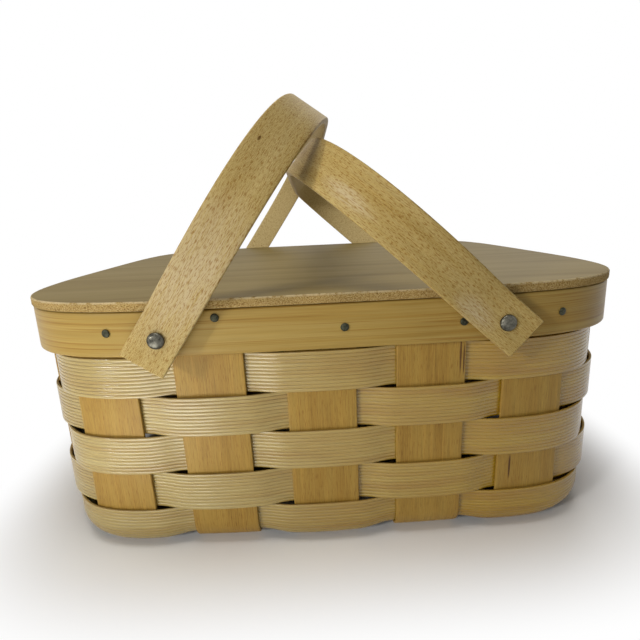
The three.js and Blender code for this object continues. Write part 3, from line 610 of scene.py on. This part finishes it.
def batten_wood():
    """Bare sanded stick."""
    mat, tree, shader = principled("batten_wood", BATTEN_ROUGHNESS, BATTEN_SPECULAR)
    fibre = noise(tree, object_coordinates(tree), BATTEN_FIBRE)
    finish_shader(tree, shader, ramp(tree, fibre, BATTEN_TONES), fibre, BATTEN_RELIEF)
    return mat


def dull_metal(name):
    """Stained metal, rougher where the stain is paler."""
    look = METALS[name]
    mat, tree, shader = principled(name, look["roughness"], METAL_SPECULAR, metallic=1.0)
    cells = (look["cells"], look["cells"], look["cells"])
    stain = noise(tree, object_coordinates(tree), (cells, *METAL_STAIN_DETAIL))
    limits = [look["roughness"] + swing for swing in METAL_ROUGHNESS_SWING]
    rough = map_range(tree, stain, METAL_STAIN_RANGE, limits)
    tree.links.new(rough, shader.inputs["Roughness"])
    color = ramp(tree, stain, ((METAL_STAIN[0], look["dark"]), (METAL_STAIN[1], look["pale"])))
    finish_shader(tree, shader, color, stain, METAL_RELIEF)
    return mat


# Camera, light and floor

def make_camera():
    """Camera at the photograph's place, with a 25 mm equivalent lens close in front of the basket."""
    level_reach = math.cos(CAMERA_PITCH)
    forward = Vector((math.sin(CAMERA_YAW) * level_reach, math.cos(CAMERA_YAW) * level_reach,
                      -math.sin(CAMERA_PITCH)))
    level = Vector((math.cos(CAMERA_YAW), -math.sin(CAMERA_YAW), 0.0))
    upright = level.cross(forward)
    right = level * math.cos(CAMERA_ROLL) + upright * math.sin(CAMERA_ROLL)
    up = upright * math.cos(CAMERA_ROLL) - level * math.sin(CAMERA_ROLL)
    data = bpy.data.cameras.new("camera")
    data.lens = CAMERA_LENS
    data.sensor_width = CAMERA_SENSOR
    data.clip_start = CAMERA_NEAR
    camera = bpy.data.objects.new("camera", data)
    turn = Matrix((right, up, -forward)).transposed().to_4x4()
    camera.matrix_world = Matrix.Translation(Vector(CAMERA_PLACE) * MM) @ turn
    bpy.context.scene.collection.objects.link(camera)
    bpy.context.scene.camera = camera


def make_lamp(name, lamp):
    """Flat rectangular lamp."""
    data = bpy.data.lights.new(name, "AREA")
    data.shape = "RECTANGLE"
    data.size, data.size_y = lamp["size"]
    data.energy = lamp["power"]
    data.color = lamp["color"]
    light = bpy.data.objects.new(name, data)
    light.location = lamp["place"]
    aim = Vector(lamp["aim"]) - Vector(lamp["place"])
    light.rotation_euler = aim.to_track_quat("-Z", "Y").to_euler()
    bpy.context.scene.collection.objects.link(light)


def make_world():
    """White to the camera and in reflections, softer as a light on the object."""
    world = bpy.data.worlds.new("world")
    bpy.context.scene.world = world
    world.use_nodes = True
    tree = world.node_tree
    background = tree.nodes["Background"]
    strength = map_range(tree, seen_rays(tree), (0.0, 1.0), (WORLD_LIGHT, 1.0))
    tree.links.new(strength, background.inputs["Strength"])
    background.inputs["Color"].default_value = WHITE


def make_floor():
    """Pale floor that keeps the shadow and fades to white away from the basket, in a rounded square."""
    half = FLOOR_HALF
    mesh = bpy.data.meshes.new("floor")
    corners = [(-half, -half, 0), (half, -half, 0), (half, half, 0), (-half, half, 0)]
    mesh.from_pydata(corners, [], [(0, 1, 2, 3)])
    floor = bpy.data.objects.new("floor", mesh)
    floor.location.z = -FLOOR_DROP
    bpy.context.scene.collection.objects.link(floor)
    mat, tree, shader = principled("floor", FLOOR_ROUGHNESS, 0.0)
    shader.inputs["Base Color"].default_value = FLOOR_COLOR
    glow = add(tree, "ShaderNodeEmission", {"Color": WHITE, "Strength": 1.0})
    place = tree.nodes.new("ShaderNodeNewGeometry").outputs["Position"]
    squares = vector_math(tree, "MULTIPLY", place, place).outputs["Vector"]
    reach = vector_math(tree, "LENGTH", squares).outputs["Value"]
    fade = map_range(tree, reach, [limit ** 2 for limit in FLOOR_FADE], kind="SMOOTHSTEP")
    share = calculate(tree, "MULTIPLY", fade, seen_rays(tree))
    mix = add(tree, "ShaderNodeMixShader", {0: share, 1: shader.outputs[0], 2: glow.outputs[0]})
    tree.links.new(mix.outputs[0], tree.nodes["Material Output"].inputs["Surface"])
    mesh.materials.append(mat)


# Outline and wall of the basket, the same as the solids

def plan_table():
    """Rounded square of the rim: arc length from the middle of the front, place and outward normal."""
    angle = np.linspace(-math.pi / 2, 1.5 * math.pi, PLAN_POINTS)
    cosine, sine = np.cos(angle), np.sin(angle)
    power = np.abs(cosine) ** PLAN_EXPONENT + np.abs(sine) ** PLAN_EXPONENT
    radius = WALL_HALF / power ** (1 / PLAN_EXPONENT)
    x, y = radius * cosine, radius * sine
    slope_x = np.sign(x) * np.abs(x / WALL_HALF) ** (PLAN_EXPONENT - 1)
    slope_y = np.sign(y) * np.abs(y / WALL_HALF) ** (PLAN_EXPONENT - 1)
    length = np.hypot(slope_x, slope_y)
    arc = np.concatenate([[0.0], np.cumsum(np.hypot(np.diff(x), np.diff(y)))])
    return arc, x, y, slope_x / length, slope_y / length


PLAN = plan_table()
PLAN_LENGTH = PLAN[0][-1]
QUARTER = PLAN_LENGTH / 4
# Angle for each millimetre of arc of a wave that comes twice round the basket
TWICE_ROUND = 4 * math.pi / PLAN_LENGTH


def plan_point(arc, offset):
    """Outline at an arc length from the middle of the front, pushed out along its normal."""
    wrapped = np.mod(arc, PLAN_LENGTH)
    x, y, normal_x, normal_y = (np.interp(wrapped, PLAN[0], column) for column in PLAN[1:])
    return x + normal_x * offset, y + normal_y * offset


def corner_share(arc):
    """Share of the corner fill at an arc length: 1 at a corner, 0 along the sides."""
    to_corner = np.abs(np.mod(arc, QUARTER) - QUARTER / 2)
    return np.cos(math.pi / 2 * np.minimum(1.0, to_corner / CORNER_FILL_REACH)) ** 2


def wall_point(arc, run, offset):
    """Place round the rim, run down the wall, and offset off the middle of the wall."""
    arc, run, offset = np.broadcast_arrays(arc, run, offset)
    straight = np.minimum(run, WALL_RUN)
    angle = WALL_TAPER + np.maximum(0.0, run - WALL_RUN) / BEND_RADIUS
    inset = straight * math.sin(WALL_TAPER) + BEND_RADIUS * (math.cos(WALL_TAPER) - np.cos(angle))
    z = RIM_TOP - straight * math.cos(WALL_TAPER) - BEND_RADIUS * (np.sin(angle) - math.sin(WALL_TAPER))
    fill = CORNER_FILL_TOP + (CORNER_FILL_FOOT - CORNER_FILL_TOP) * np.minimum(1.0, run / WALL_RUN)
    x, y = plan_point(arc, offset * np.cos(angle) - inset + fill * corner_share(arc))
    return np.stack([x, y, z - offset * np.sin(angle)], axis=-1)


def front_face(x, z, offset):
    """Distance of the wall's face from the middle plane at the front."""
    inset = (RIM_TOP - z) * math.tan(WALL_TAPER)
    arc = np.linspace(-QUARTER / 2, QUARTER / 2, FRONT_POINTS)
    face_x, face_y = plan_point(arc, offset - inset)
    return -np.interp(x, face_x, face_y)


def stake_step(number):
    """Distance of a stake from the middle of its side."""
    return (number - (STAKES_PER_SIDE - 1) / 2) * STAKE_PITCH


def stake_ends():
    """Middle of each stake end in order round the rim, as (side, number, arc)."""
    rising = range(STAKES_PER_SIDE)
    falling = range(STAKES_PER_SIDE - 1, -1, -1)
    ends = [("front", i, stake_step(i) + STAKE_SHIFT) for i in rising]
    ends += [("right", i, QUARTER + stake_step(i)) for i in rising]
    ends += [("back", i, 2 * QUARTER - stake_step(i) - STAKE_SHIFT) for i in falling]
    ends += [("left", i, 3 * QUARTER - stake_step(i)) for i in falling]
    return ends


ENDS = stake_ends()
END_ARC = {(side, number): arc for side, number, arc in ENDS}


# Curves and meshes

def curve_through(at, knots, values, slopes):
    """Smooth curve through knots with given slopes."""
    k = np.clip(np.searchsorted(knots, at, side="right") - 1, 0, len(knots) - 2)
    span = knots[k + 1] - knots[k]
    t = (at - knots[k]) / span
    ease = 3 * t ** 2 - 2 * t ** 3
    lean = t * (1 - t) * ((1 - t) * slopes[k] - t * slopes[k + 1])
    return (1 - ease) * values[k] + ease * values[k + 1] + span * lean


def soft_wave(waves, amount):
    """Slow seeded ripple that closes on itself round the basket."""
    phases = seeded.uniform(0, 2 * math.pi, waves)
    sizes = seeded.uniform(*RIPPLE_SIZES, waves) * amount / waves

    def height(arc):
        turn = 2 * math.pi * arc / PLAN_LENGTH
        pairs = enumerate(zip(sizes, phases))
        return sum(size * np.sin((k + 1) * turn + phase) for k, (size, phase) in pairs)

    return height


def path_length(path):
    """Length along a path up to each of its points."""
    return np.concatenate([[0.0], np.cumsum(np.linalg.norm(np.diff(path, axis=0), axis=1))])


def strip_grain(along, across, number):
    """Grain of a strip: along it, across it, and its own number."""
    grid_along, grid_across = np.meshgrid(along, across, indexing="ij")
    return np.stack([grid_along, grid_across, np.full_like(grid_along, number)], axis=-1)


def rounded_box(half_x, half_y, radius, fills):
    """Outline of a rounded rectangle about the origin, with extra points along its sides."""
    inner_x, inner_y = half_x - radius, half_y - radius
    points = []
    for turn, (side_x, side_y) in enumerate(((1, 1), (-1, 1), (-1, -1), (1, -1))):
        for k in range(CORNER_STEPS + 1):
            angle = math.pi / 2 * (turn + k / CORNER_STEPS)
            points.append((side_x * inner_x + radius * math.cos(angle),
                           side_y * inner_y + radius * math.sin(angle)))
        fill = fills[turn % 2]
        for k in range(1, fill + 1):
            t = 1 - 2 * k / (fill + 1)
            sides = ((inner_x * t, half_y), (-half_x, inner_y * t),
                     (-inner_x * t, -half_y), (half_x, -inner_y * t))
            points.append(sides[turn])
    return np.array(points)


def inside_out(places, quads):
    """Whether the faces of a swept mesh point inwards, by the sign of its volume."""
    triangles = np.concatenate([quads[:, [0, 1, 2]], quads[:, [0, 2, 3]]])
    middle = places.mean(axis=0)
    first, second, third = (places[triangles[:, k]] - middle for k in range(3))
    return np.einsum("ij,ij->", first, np.cross(second, third)) < 0


def sweep(name, points, grain, closed, cap_material=0):
    """Mesh through rings of points; grain has a ring more than points where the sweep is closed."""
    rings, columns = points.shape[:2]
    ring = np.arange(rings if closed else rings - 1)[:, None]
    column = np.arange(columns)[None, :]
    here = ring * columns
    ahead = (ring + 1) % rings * columns
    beside = (column + 1) % columns
    quads = np.stack([here + column, here + beside, ahead + beside, ahead + column], axis=-1)
    quads = quads.reshape(-1, 4)
    near, far = grain[:-1], grain[1:]
    values = np.stack([near, np.roll(near, -1, 1), np.roll(far, -1, 1), far], axis=2).reshape(-1, 3)
    faces = quads.tolist()
    if not closed:
        first = np.arange(columns)
        faces += [first[::-1].tolist(), (first + (rings - 1) * columns).tolist()]
        values = np.concatenate([values, grain[0][::-1], grain[-1]])
    places = points.reshape(-1, 3)
    mesh = bpy.data.meshes.new(name)
    mesh.from_pydata((places * MM).tolist(), [], faces)
    attribute = mesh.attributes.new("grain", "FLOAT_VECTOR", "CORNER")
    attribute.data.foreach_set("vector", np.ascontiguousarray(values, dtype=np.float32).ravel())
    smooth = np.ones(len(faces), dtype=bool)
    slots = np.zeros(len(faces), dtype=np.int32)
    if not closed:
        smooth[-2:] = False
        slots[-2:] = cap_material
    mesh.polygons.foreach_set("use_smooth", smooth)
    mesh.polygons.foreach_set("material_index", slots)
    if inside_out(places, quads):
        mesh.flip_normals()
    mesh.update()
    piece = bpy.data.objects.new(name, mesh)
    bpy.context.scene.collection.objects.link(piece)
    return piece


def turned(name, profile, sides, place, direction):
    """Turned piece from (radius, height) pairs, pointed along a direction at a place."""
    angle = np.linspace(0, 2 * math.pi, sides, endpoint=False)
    ring = np.stack([np.cos(angle), np.sin(angle)], axis=-1)
    profile = np.array(profile)
    heights = np.repeat(profile[:, None, 1:], sides, axis=1)
    local = np.concatenate([profile[:, None, :1] * ring[None], heights], axis=-1)
    turn = Vector((0, 0, 1)).rotation_difference(Vector(direction)).to_matrix()
    points = local @ np.array(turn).T + np.array(place)
    return sweep(name, points, local, False)


def dome(radius, height, seat, steps):
    """Rounded head from its crown down to its seat, as (radius, height) pairs."""
    profile = []
    for angle in np.linspace(DOME_OPENING, math.pi / 2, steps):
        rise = DOME_EDGE + (1 - DOME_EDGE) * math.cos(angle)
        profile.append((radius * math.sin(angle), seat + height * rise))
    return profile + [(radius * DOME_SEAT, seat)]


def dress(piece, node, body, slot, *materials):
    """Give a piece its materials and let it stand for a node on a body."""
    for mat in materials:
        piece.data.materials.append(mat)
    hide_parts(node)
    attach(piece, body)


# Pieces of the basket

def weave_curve(row):
    """Swing of a weaver off the middle of the wall, by arc length."""
    half = STAKE_WIDTH / 2 + WEAVER_PLATEAU
    slope = 2 * WEAVER_CROWN / half
    knots, values, slopes = [], [], []
    for i, (_, _, arc) in enumerate(ENDS):
        sign = 1 if (i + row) % 2 == 0 else -1
        knots += [arc - half, arc, arc + half]
        values += [sign * WEAVE_OFFSET, sign * (WEAVE_OFFSET + WEAVER_CROWN), sign * WEAVE_OFFSET]
        slopes += [sign * slope, 0.0, -sign * slope]
    knots = np.array([knots[-1] - PLAN_LENGTH] + knots + [knots[0] + PLAN_LENGTH])
    values = np.array([values[-1]] + values + [values[0]])
    slopes = np.array([slopes[-1]] + slopes + [slopes[0]])

    def swing(arc):
        wrapped = knots[0] + np.mod(arc - knots[0], PLAN_LENGTH)
        return curve_through(wrapped, knots, values, slopes)

    return swing


def make_weaver(row, mat):
    """Ridged splint round the basket, in front of one stake and behind the next."""
    arc = np.linspace(0, PLAN_LENGTH, WEAVER_STATIONS + 1) + 2 * QUARTER
    swing = weave_curve(row)(arc)[:, None]
    ridge = np.arange(RIDGES)[:, None] + np.array([place for place, _ in RIDGE_PROFILE])
    across = np.append(ridge.ravel(), RIDGES) * WEAVER_WIDTH / RIDGES
    groove = np.append(np.tile([low for _, low in RIDGE_PROFILE], RIDGES), RIDGE_PROFILE[0][1])
    turn = TWICE_ROUND * (arc + QUARTER * COARSE_SHIFT)
    coarse = COARSE_MIDDLE + COARSE_SWING * np.cos(turn)
    depth = RIDGE_DEPTH * coarse * (1 + soft_wave(*RIDGE_RIPPLE)(arc))
    relief = -depth[:, None] * groove
    relief[:, [0, -1]] -= WEAVER_EDGE_EASE
    top = FIRST_ROW_DROP + row * WEAVER_PITCH + soft_wave(*WEAVER_RIPPLE)(arc)[:, None]
    outer = wall_point(arc[:, None], top + across, swing + WEAVER_THICKNESS / 2 + relief)
    back = np.linspace(WEAVER_WIDTH - WEAVER_BACK_INSET, WEAVER_BACK_INSET, WEAVER_BACK_POINTS)
    inner = wall_point(arc[:, None], top + back, swing - WEAVER_THICKNESS / 2)
    points = np.concatenate([outer, inner], axis=1)
    grain = strip_grain(arc, np.concatenate([across, back]), WEAVER_GRAIN_STEP * row)
    piece = sweep(f"row_splint_{row + 1}", points[:-1], grain, True)
    dress(piece, f"weaver_row_{row + 1}", "basket", "weaver_splint", mat)


def base_band(arc, axis):
    """Stretch of the base that the stake at an arc length takes up along an axis."""
    edges = [wall_point(arc + side * STAKE_WIDTH / 2, FOOT_RUN, 0.0)[axis] for side in (-1, 1)]
    return min(edges) - WEAVER_PLATEAU, max(edges) + WEAVER_PLATEAU


def base_levels(along, first_step, bands, ends):
    """Height of a stake along the base, over and under the bands that it crosses in turn."""
    knots, values = [ends[0]], [BASE_MIDDLE]
    for i, (low, high) in enumerate(bands):
        step = first_step if i % 2 == 0 else -first_step
        knots += [low, high]
        values += [BASE_MIDDLE + step * BASE_OFFSET] * 2
    knots = np.array(knots + [ends[1]])
    values = np.array(values + [BASE_MIDDLE])
    return curve_through(along, knots, values, np.zeros_like(values))


def stake_section():
    """Places across a stake and offsets off its middle, round its outer and then its inner face."""
    inset = np.array([distance for distance, _ in STAKE_EDGE])
    taken = np.array([amount for _, amount in STAKE_EDGE])
    flat = np.linspace(-STAKE_FLAT_HALF, STAKE_FLAT_HALF, STAKE_FLAT_POINTS)
    across = np.concatenate([-STAKE_WIDTH / 2 + inset, flat, STAKE_WIDTH / 2 - inset[::-1]])
    thick = STAKE_THICKNESS / 2 - np.concatenate([taken, np.zeros(STAKE_FLAT_POINTS), taken[::-1]])
    return np.concatenate([across, across[::-1]]), np.concatenate([thick, -thick[::-1]])


def make_stake(name, kind, number, bands, mat):
    """Splint down one wall, across the base and up the far wall."""
    axis = kind["axis"]
    near_arc = END_ARC[kind["near"], number]
    far_arc = END_ARC[kind["far"], number]
    across, offsets = stake_section()
    wall = np.linspace(STAKE_TOP_DROP, WALL_RUN, STAKE_WALL_POINTS)
    bend = WALL_RUN + np.linspace(0, BEND_RUN, STAKE_BEND_POINTS)[1:]
    runs = np.concatenate([wall, bend])[:, None]
    near = wall_point(near_arc + across, runs, offsets)
    far = wall_point(far_arc - across, runs, offsets)
    foot = wall_point(near_arc + across, FOOT_RUN, 0.0)
    ends = [wall_point(arc, FOOT_RUN, 0.0)[axis] for arc in (near_arc, far_arc)]
    along = np.linspace(*ends, STAKE_BASE_POINTS)[1:-1]
    first_step = kind["first_step"] if number % 2 == 0 else -kind["first_step"]
    level = base_levels(along, first_step, bands, ends)
    base = np.repeat(foot[None, :, :], len(along), axis=0)
    base[:, :, axis] = along[:, None]
    base[:, :, 2] = level[:, None] - offsets
    points = np.concatenate([near, base, far[::-1]])
    # A quarter of the way round the section is the middle of the outer face
    length = path_length(points[:, len(across) // 4])
    grain = strip_grain(length, across, kind["grain"] + STAKE_GRAIN_STEP * number)
    piece = sweep(f"{name}_splint_{number + 1}", points, grain, False)
    dress(piece, f"{name}_stake_{number + 1}", "basket", "stake_splint", mat)


def make_stakes(mat):
    """Both kinds of stake, each woven through the other in the base."""
    count = range(STAKES_PER_SIDE)
    bands = {}
    for name, kind in STAKE_KINDS.items():
        bands[name] = [base_band(END_ARC[kind["near"], i], 1 - kind["axis"]) for i in count]
    for i in count:
        make_stake("cross", STAKE_KINDS["cross"], i, bands["long"], mat)
        make_stake("long", STAKE_KINDS["long"], i, bands["cross"], mat)


def make_hoop(name, hoop, mat):
    """Slightly uneven hoop round the rim."""
    low, high = hoop["low"], hoop["high"]
    arc = np.linspace(0, PLAN_LENGTH, HOOP_STATIONS + 1) + 2 * QUARTER
    outline = rounded_box((high - low) / 2, HOOP_HEIGHT / 2, HOOP_ROUNDING, HOOP_FILLS)
    out, down = outline[:, 0], outline[:, 1]
    ripple = soft_wave(*HOOP_RIPPLE)(arc)[:, None]
    offset = (low + high) / 2 + out + ripple * (out > 0) * HOOP_FACE_RIPPLE
    run = HOOP_HEIGHT / 2 + down + ripple * (down > 0)
    points = wall_point(arc[:, None], run, offset)
    piece = sweep(name, points[:-1], strip_grain(arc, down + out, hoop["grain"]), True)
    dress(piece, hoop["node"], "basket", "rim_wood", mat)


def make_nails(mat):
    """Domed nails through the rim, one at each stake end."""
    length = FIT_GAP + OUTER_HOOP_THICKNESS + 2 * HOOP_SEAT + NAIL_INNER_BITE
    profile = dome(NAIL_HEAD_RADIUS, NAIL_HEAD_HEIGHT, 0.0, NAIL_HEAD_STEPS)
    profile += [(NAIL_SHANK_RADIUS, 0.0), (NAIL_SHANK_RADIUS, -length), (TIP_RADIUS, -length)]
    for side, number, arc in ENDS:
        shift = FRONT_NAIL_SHIFTS[number] if side == "front" else 0.0
        drop = FRONT_NAIL_DROPS[number] if side == "front" else NAIL_DROP
        place = wall_point(arc + shift, drop, OUTER_HOOP_FACE + FIT_GAP)
        direction = place - wall_point(arc + shift, drop, 0.0)
        piece = turned(f"nail_{side}_{number + 1}", profile, NAIL_SIDES, place, direction)
        dress(piece, f"rim_nail_{side}_{number + 1}", "basket", "nail_metal", mat)


def make_rivets(side, shape, mat):
    """Rivets that carry a handle, domed outside and peened over a burr inside the rim."""
    burr_edge = abs(shape["pivot"]) + BURR_RADIUS
    inner = front_face(burr_edge, PIVOT_HEIGHT - BURR_RADIUS, INNER_HOOP_FACE) - FIT_GAP
    seat = HANDLE_INNER_FACE + HANDLE_THICKNESS + FIT_GAP
    peen = inner - BURR_HEIGHT - FIT_GAP
    end = peen - RIVET_PEEN_HEIGHT
    profile = dome(RIVET_HEAD_RADIUS, RIVET_HEAD_HEIGHT, seat, RIVET_HEAD_STEPS)
    profile += [(RIVET_SHANK_RADIUS, seat), (RIVET_SHANK_RADIUS, peen), (RIVET_PEEN_RADIUS, peen),
                (RIVET_PEEN_RADIUS - RIVET_PEEN_EASE, peen - RIVET_PEEN_SHOULDER),
                (RIVET_SHANK_RADIUS, end), (TIP_RADIUS, end)]
    place = (shape["pivot"], 0, PIVOT_HEIGHT)
    for face, direction in (("front", (0, -1, 0)), ("back", (0, 1, 0))):
        piece = turned(f"rivet_{side}_{face}", profile, RIVET_SIDES, place, direction)
        dress(piece, f"{side}_handle_rivet_{face}", "basket", "rivet_metal", mat)


def handle_path(shape):
    """Middle of the strip as depth and height above the rivet, from one tail to the other."""
    half = HANDLE_INNER_FACE + HANDLE_THICKNESS / 2
    splay = shape["splay"]
    leg_rise = HANDLE_BEND_START - HANDLE_SPLAY_START
    leg_top = np.array([half + leg_rise * math.tan(splay), HANDLE_BEND_START])
    leg_aim = leg_top + shape["leg_pull"] * np.array([math.sin(splay), math.cos(splay)])
    bar_end = np.array([shape["bar_half"], shape["reach"] - HANDLE_THICKNESS / 2])
    bar_aim = bar_end + np.array([shape["bar_pull"], 0.0])
    tail_top = HANDLE_SPLAY_START - HANDLE_TAIL_CLEAR
    heights = np.linspace(-shape["tail"] + HANDLE_END_RING, tail_top, HANDLE_TAIL_POINTS)
    heights = np.concatenate([[-shape["tail"]], heights])
    tail = np.stack([np.full_like(heights, half), heights], axis=-1)
    leg = np.array([[half + HANDLE_LEG_CLEAR * math.tan(splay), HANDLE_SPLAY_START + HANDLE_LEG_CLEAR]])
    t = np.linspace(0, 1, HANDLE_BEND_POINTS)[:, None]
    bend = (1 - t) ** 3 * leg_top + 3 * t * (1 - t) ** 2 * leg_aim
    bend = bend + 3 * t * t * (1 - t) * bar_aim + t ** 3 * bar_end
    bar = np.array([(y, bar_end[1]) for y in np.linspace(bar_end[0], 0, HANDLE_BAR_POINTS)[1:]])
    back_half = np.concatenate([tail, leg, bend, bar])
    front_half = back_half[::-1][1:] * np.array([-1.0, 1.0])
    return np.concatenate([back_half, front_half])


def make_handle(side, shape, mat):
    """Bent strip, leaning from its rivets as in the photograph; its grain starts at the front tail."""
    path = handle_path(shape)
    along = np.gradient(path, axis=0)
    along /= np.linalg.norm(along, axis=1)[:, None]
    normal = np.stack([along[:, 1], -along[:, 0]], axis=-1)
    outline = rounded_box(HANDLE_WIDTH / 2, HANDLE_THICKNESS / 2, HANDLE_ROUNDING, HANDLE_FILLS)
    width, out = outline[:, 0], outline[:, 1]
    strip = path[:, None, :] + normal[:, None, :] * out[None, :, None]
    depth, rise = strip[..., 0], strip[..., 1]
    cosine, sine = math.cos(shape["lean"]), math.sin(shape["lean"])
    x = shape["pivot"] + width * cosine + rise * sine
    z = PIVOT_HEIGHT - width * sine + rise * cosine
    length = path_length(path)
    grain = strip_grain(length[-1] - length, width + out * HANDLE_EDGE_GRAIN, shape["grain"])
    grain[..., 2] += HANDLE_INNER_STEP * (out < 0)
    piece = sweep(f"handle_{side}", np.stack([x, depth, z], axis=-1), grain, False)
    dress(piece, f"{side}_handle", f"{side}_handle", "handle_wood", mat)


def make_lid(top_mat, edge_mat):
    """Board cut to the rim's outline, with rounded and slightly chipped edges."""
    arc = np.linspace(0, PLAN_LENGTH, LID_STATIONS, endpoint=False)
    full = LID_ROUNDING
    part = LID_ROUNDING * LID_ROUNDING_STEP
    rings = [(-full, LID_UNDER), (-part, LID_UNDER + part), (0.0, LID_UNDER + full),
             (0.0, LID_UNDER + LID_EDGE_LOW), (0.0, LID_OVER - LID_EDGE_HIGH),
             (0.0, LID_OVER - full), (-part, LID_OVER - part), (-full, LID_OVER)]
    reach = LID_HALF - WALL_HALF + CORNER_FILL_TOP * corner_share(arc)
    points = []
    for k, (offset, z) in enumerate(rings):
        chipped = 0 < k < len(rings) - 1
        chips = seeded.uniform(*LID_CHIPS, LID_STATIONS) if chipped else 0.0
        x, y = plan_point(arc, reach + offset + chips)
        points.append(np.stack([x, y, np.full_like(x, z)], axis=-1))
    points = np.array(points)
    piece = sweep("lid_top", points, points, False, 1)
    dress(piece, "lid_board", "lid", "lid_wood", edge_mat, top_mat)


def dress_nodes(looks):
    """Materials for the nodes that stay as they are, by a word in their names."""
    for name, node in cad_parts.items():
        for word, mat in looks.items():
            if word in name:
                node.data.materials.clear()
                node.data.materials.append(mat)


def main():
    bpy.context.scene.view_settings.view_transform = "Standard"
    make_camera()
    make_world()
    make_floor()
    for name, lamp in LAMPS.items():
        make_lamp(name, lamp)
    weaver = weaver_wood()
    for row in range(WEAVER_ROWS):
        make_weaver(row, weaver)
    make_stakes(stake_wood())
    rim = rim_wood()
    for name, hoop in HOOPS.items():
        make_hoop(name, hoop, rim)
    make_nails(dull_metal("nail_metal"))
    handle = handle_wood()
    rivet = dull_metal("rivet_metal")
    for side, shape in HANDLES.items():
        make_handle(side, shape, handle)
        make_rivets(side, shape, rivet)
    make_lid(lid_wood(), lid_edge_wood())
    screw = dull_metal("screw_metal")
    dress_nodes({"spacer": rivet, "burr": rivet, "batten_screw": screw, "lid_batten": batten_wood()})


main()
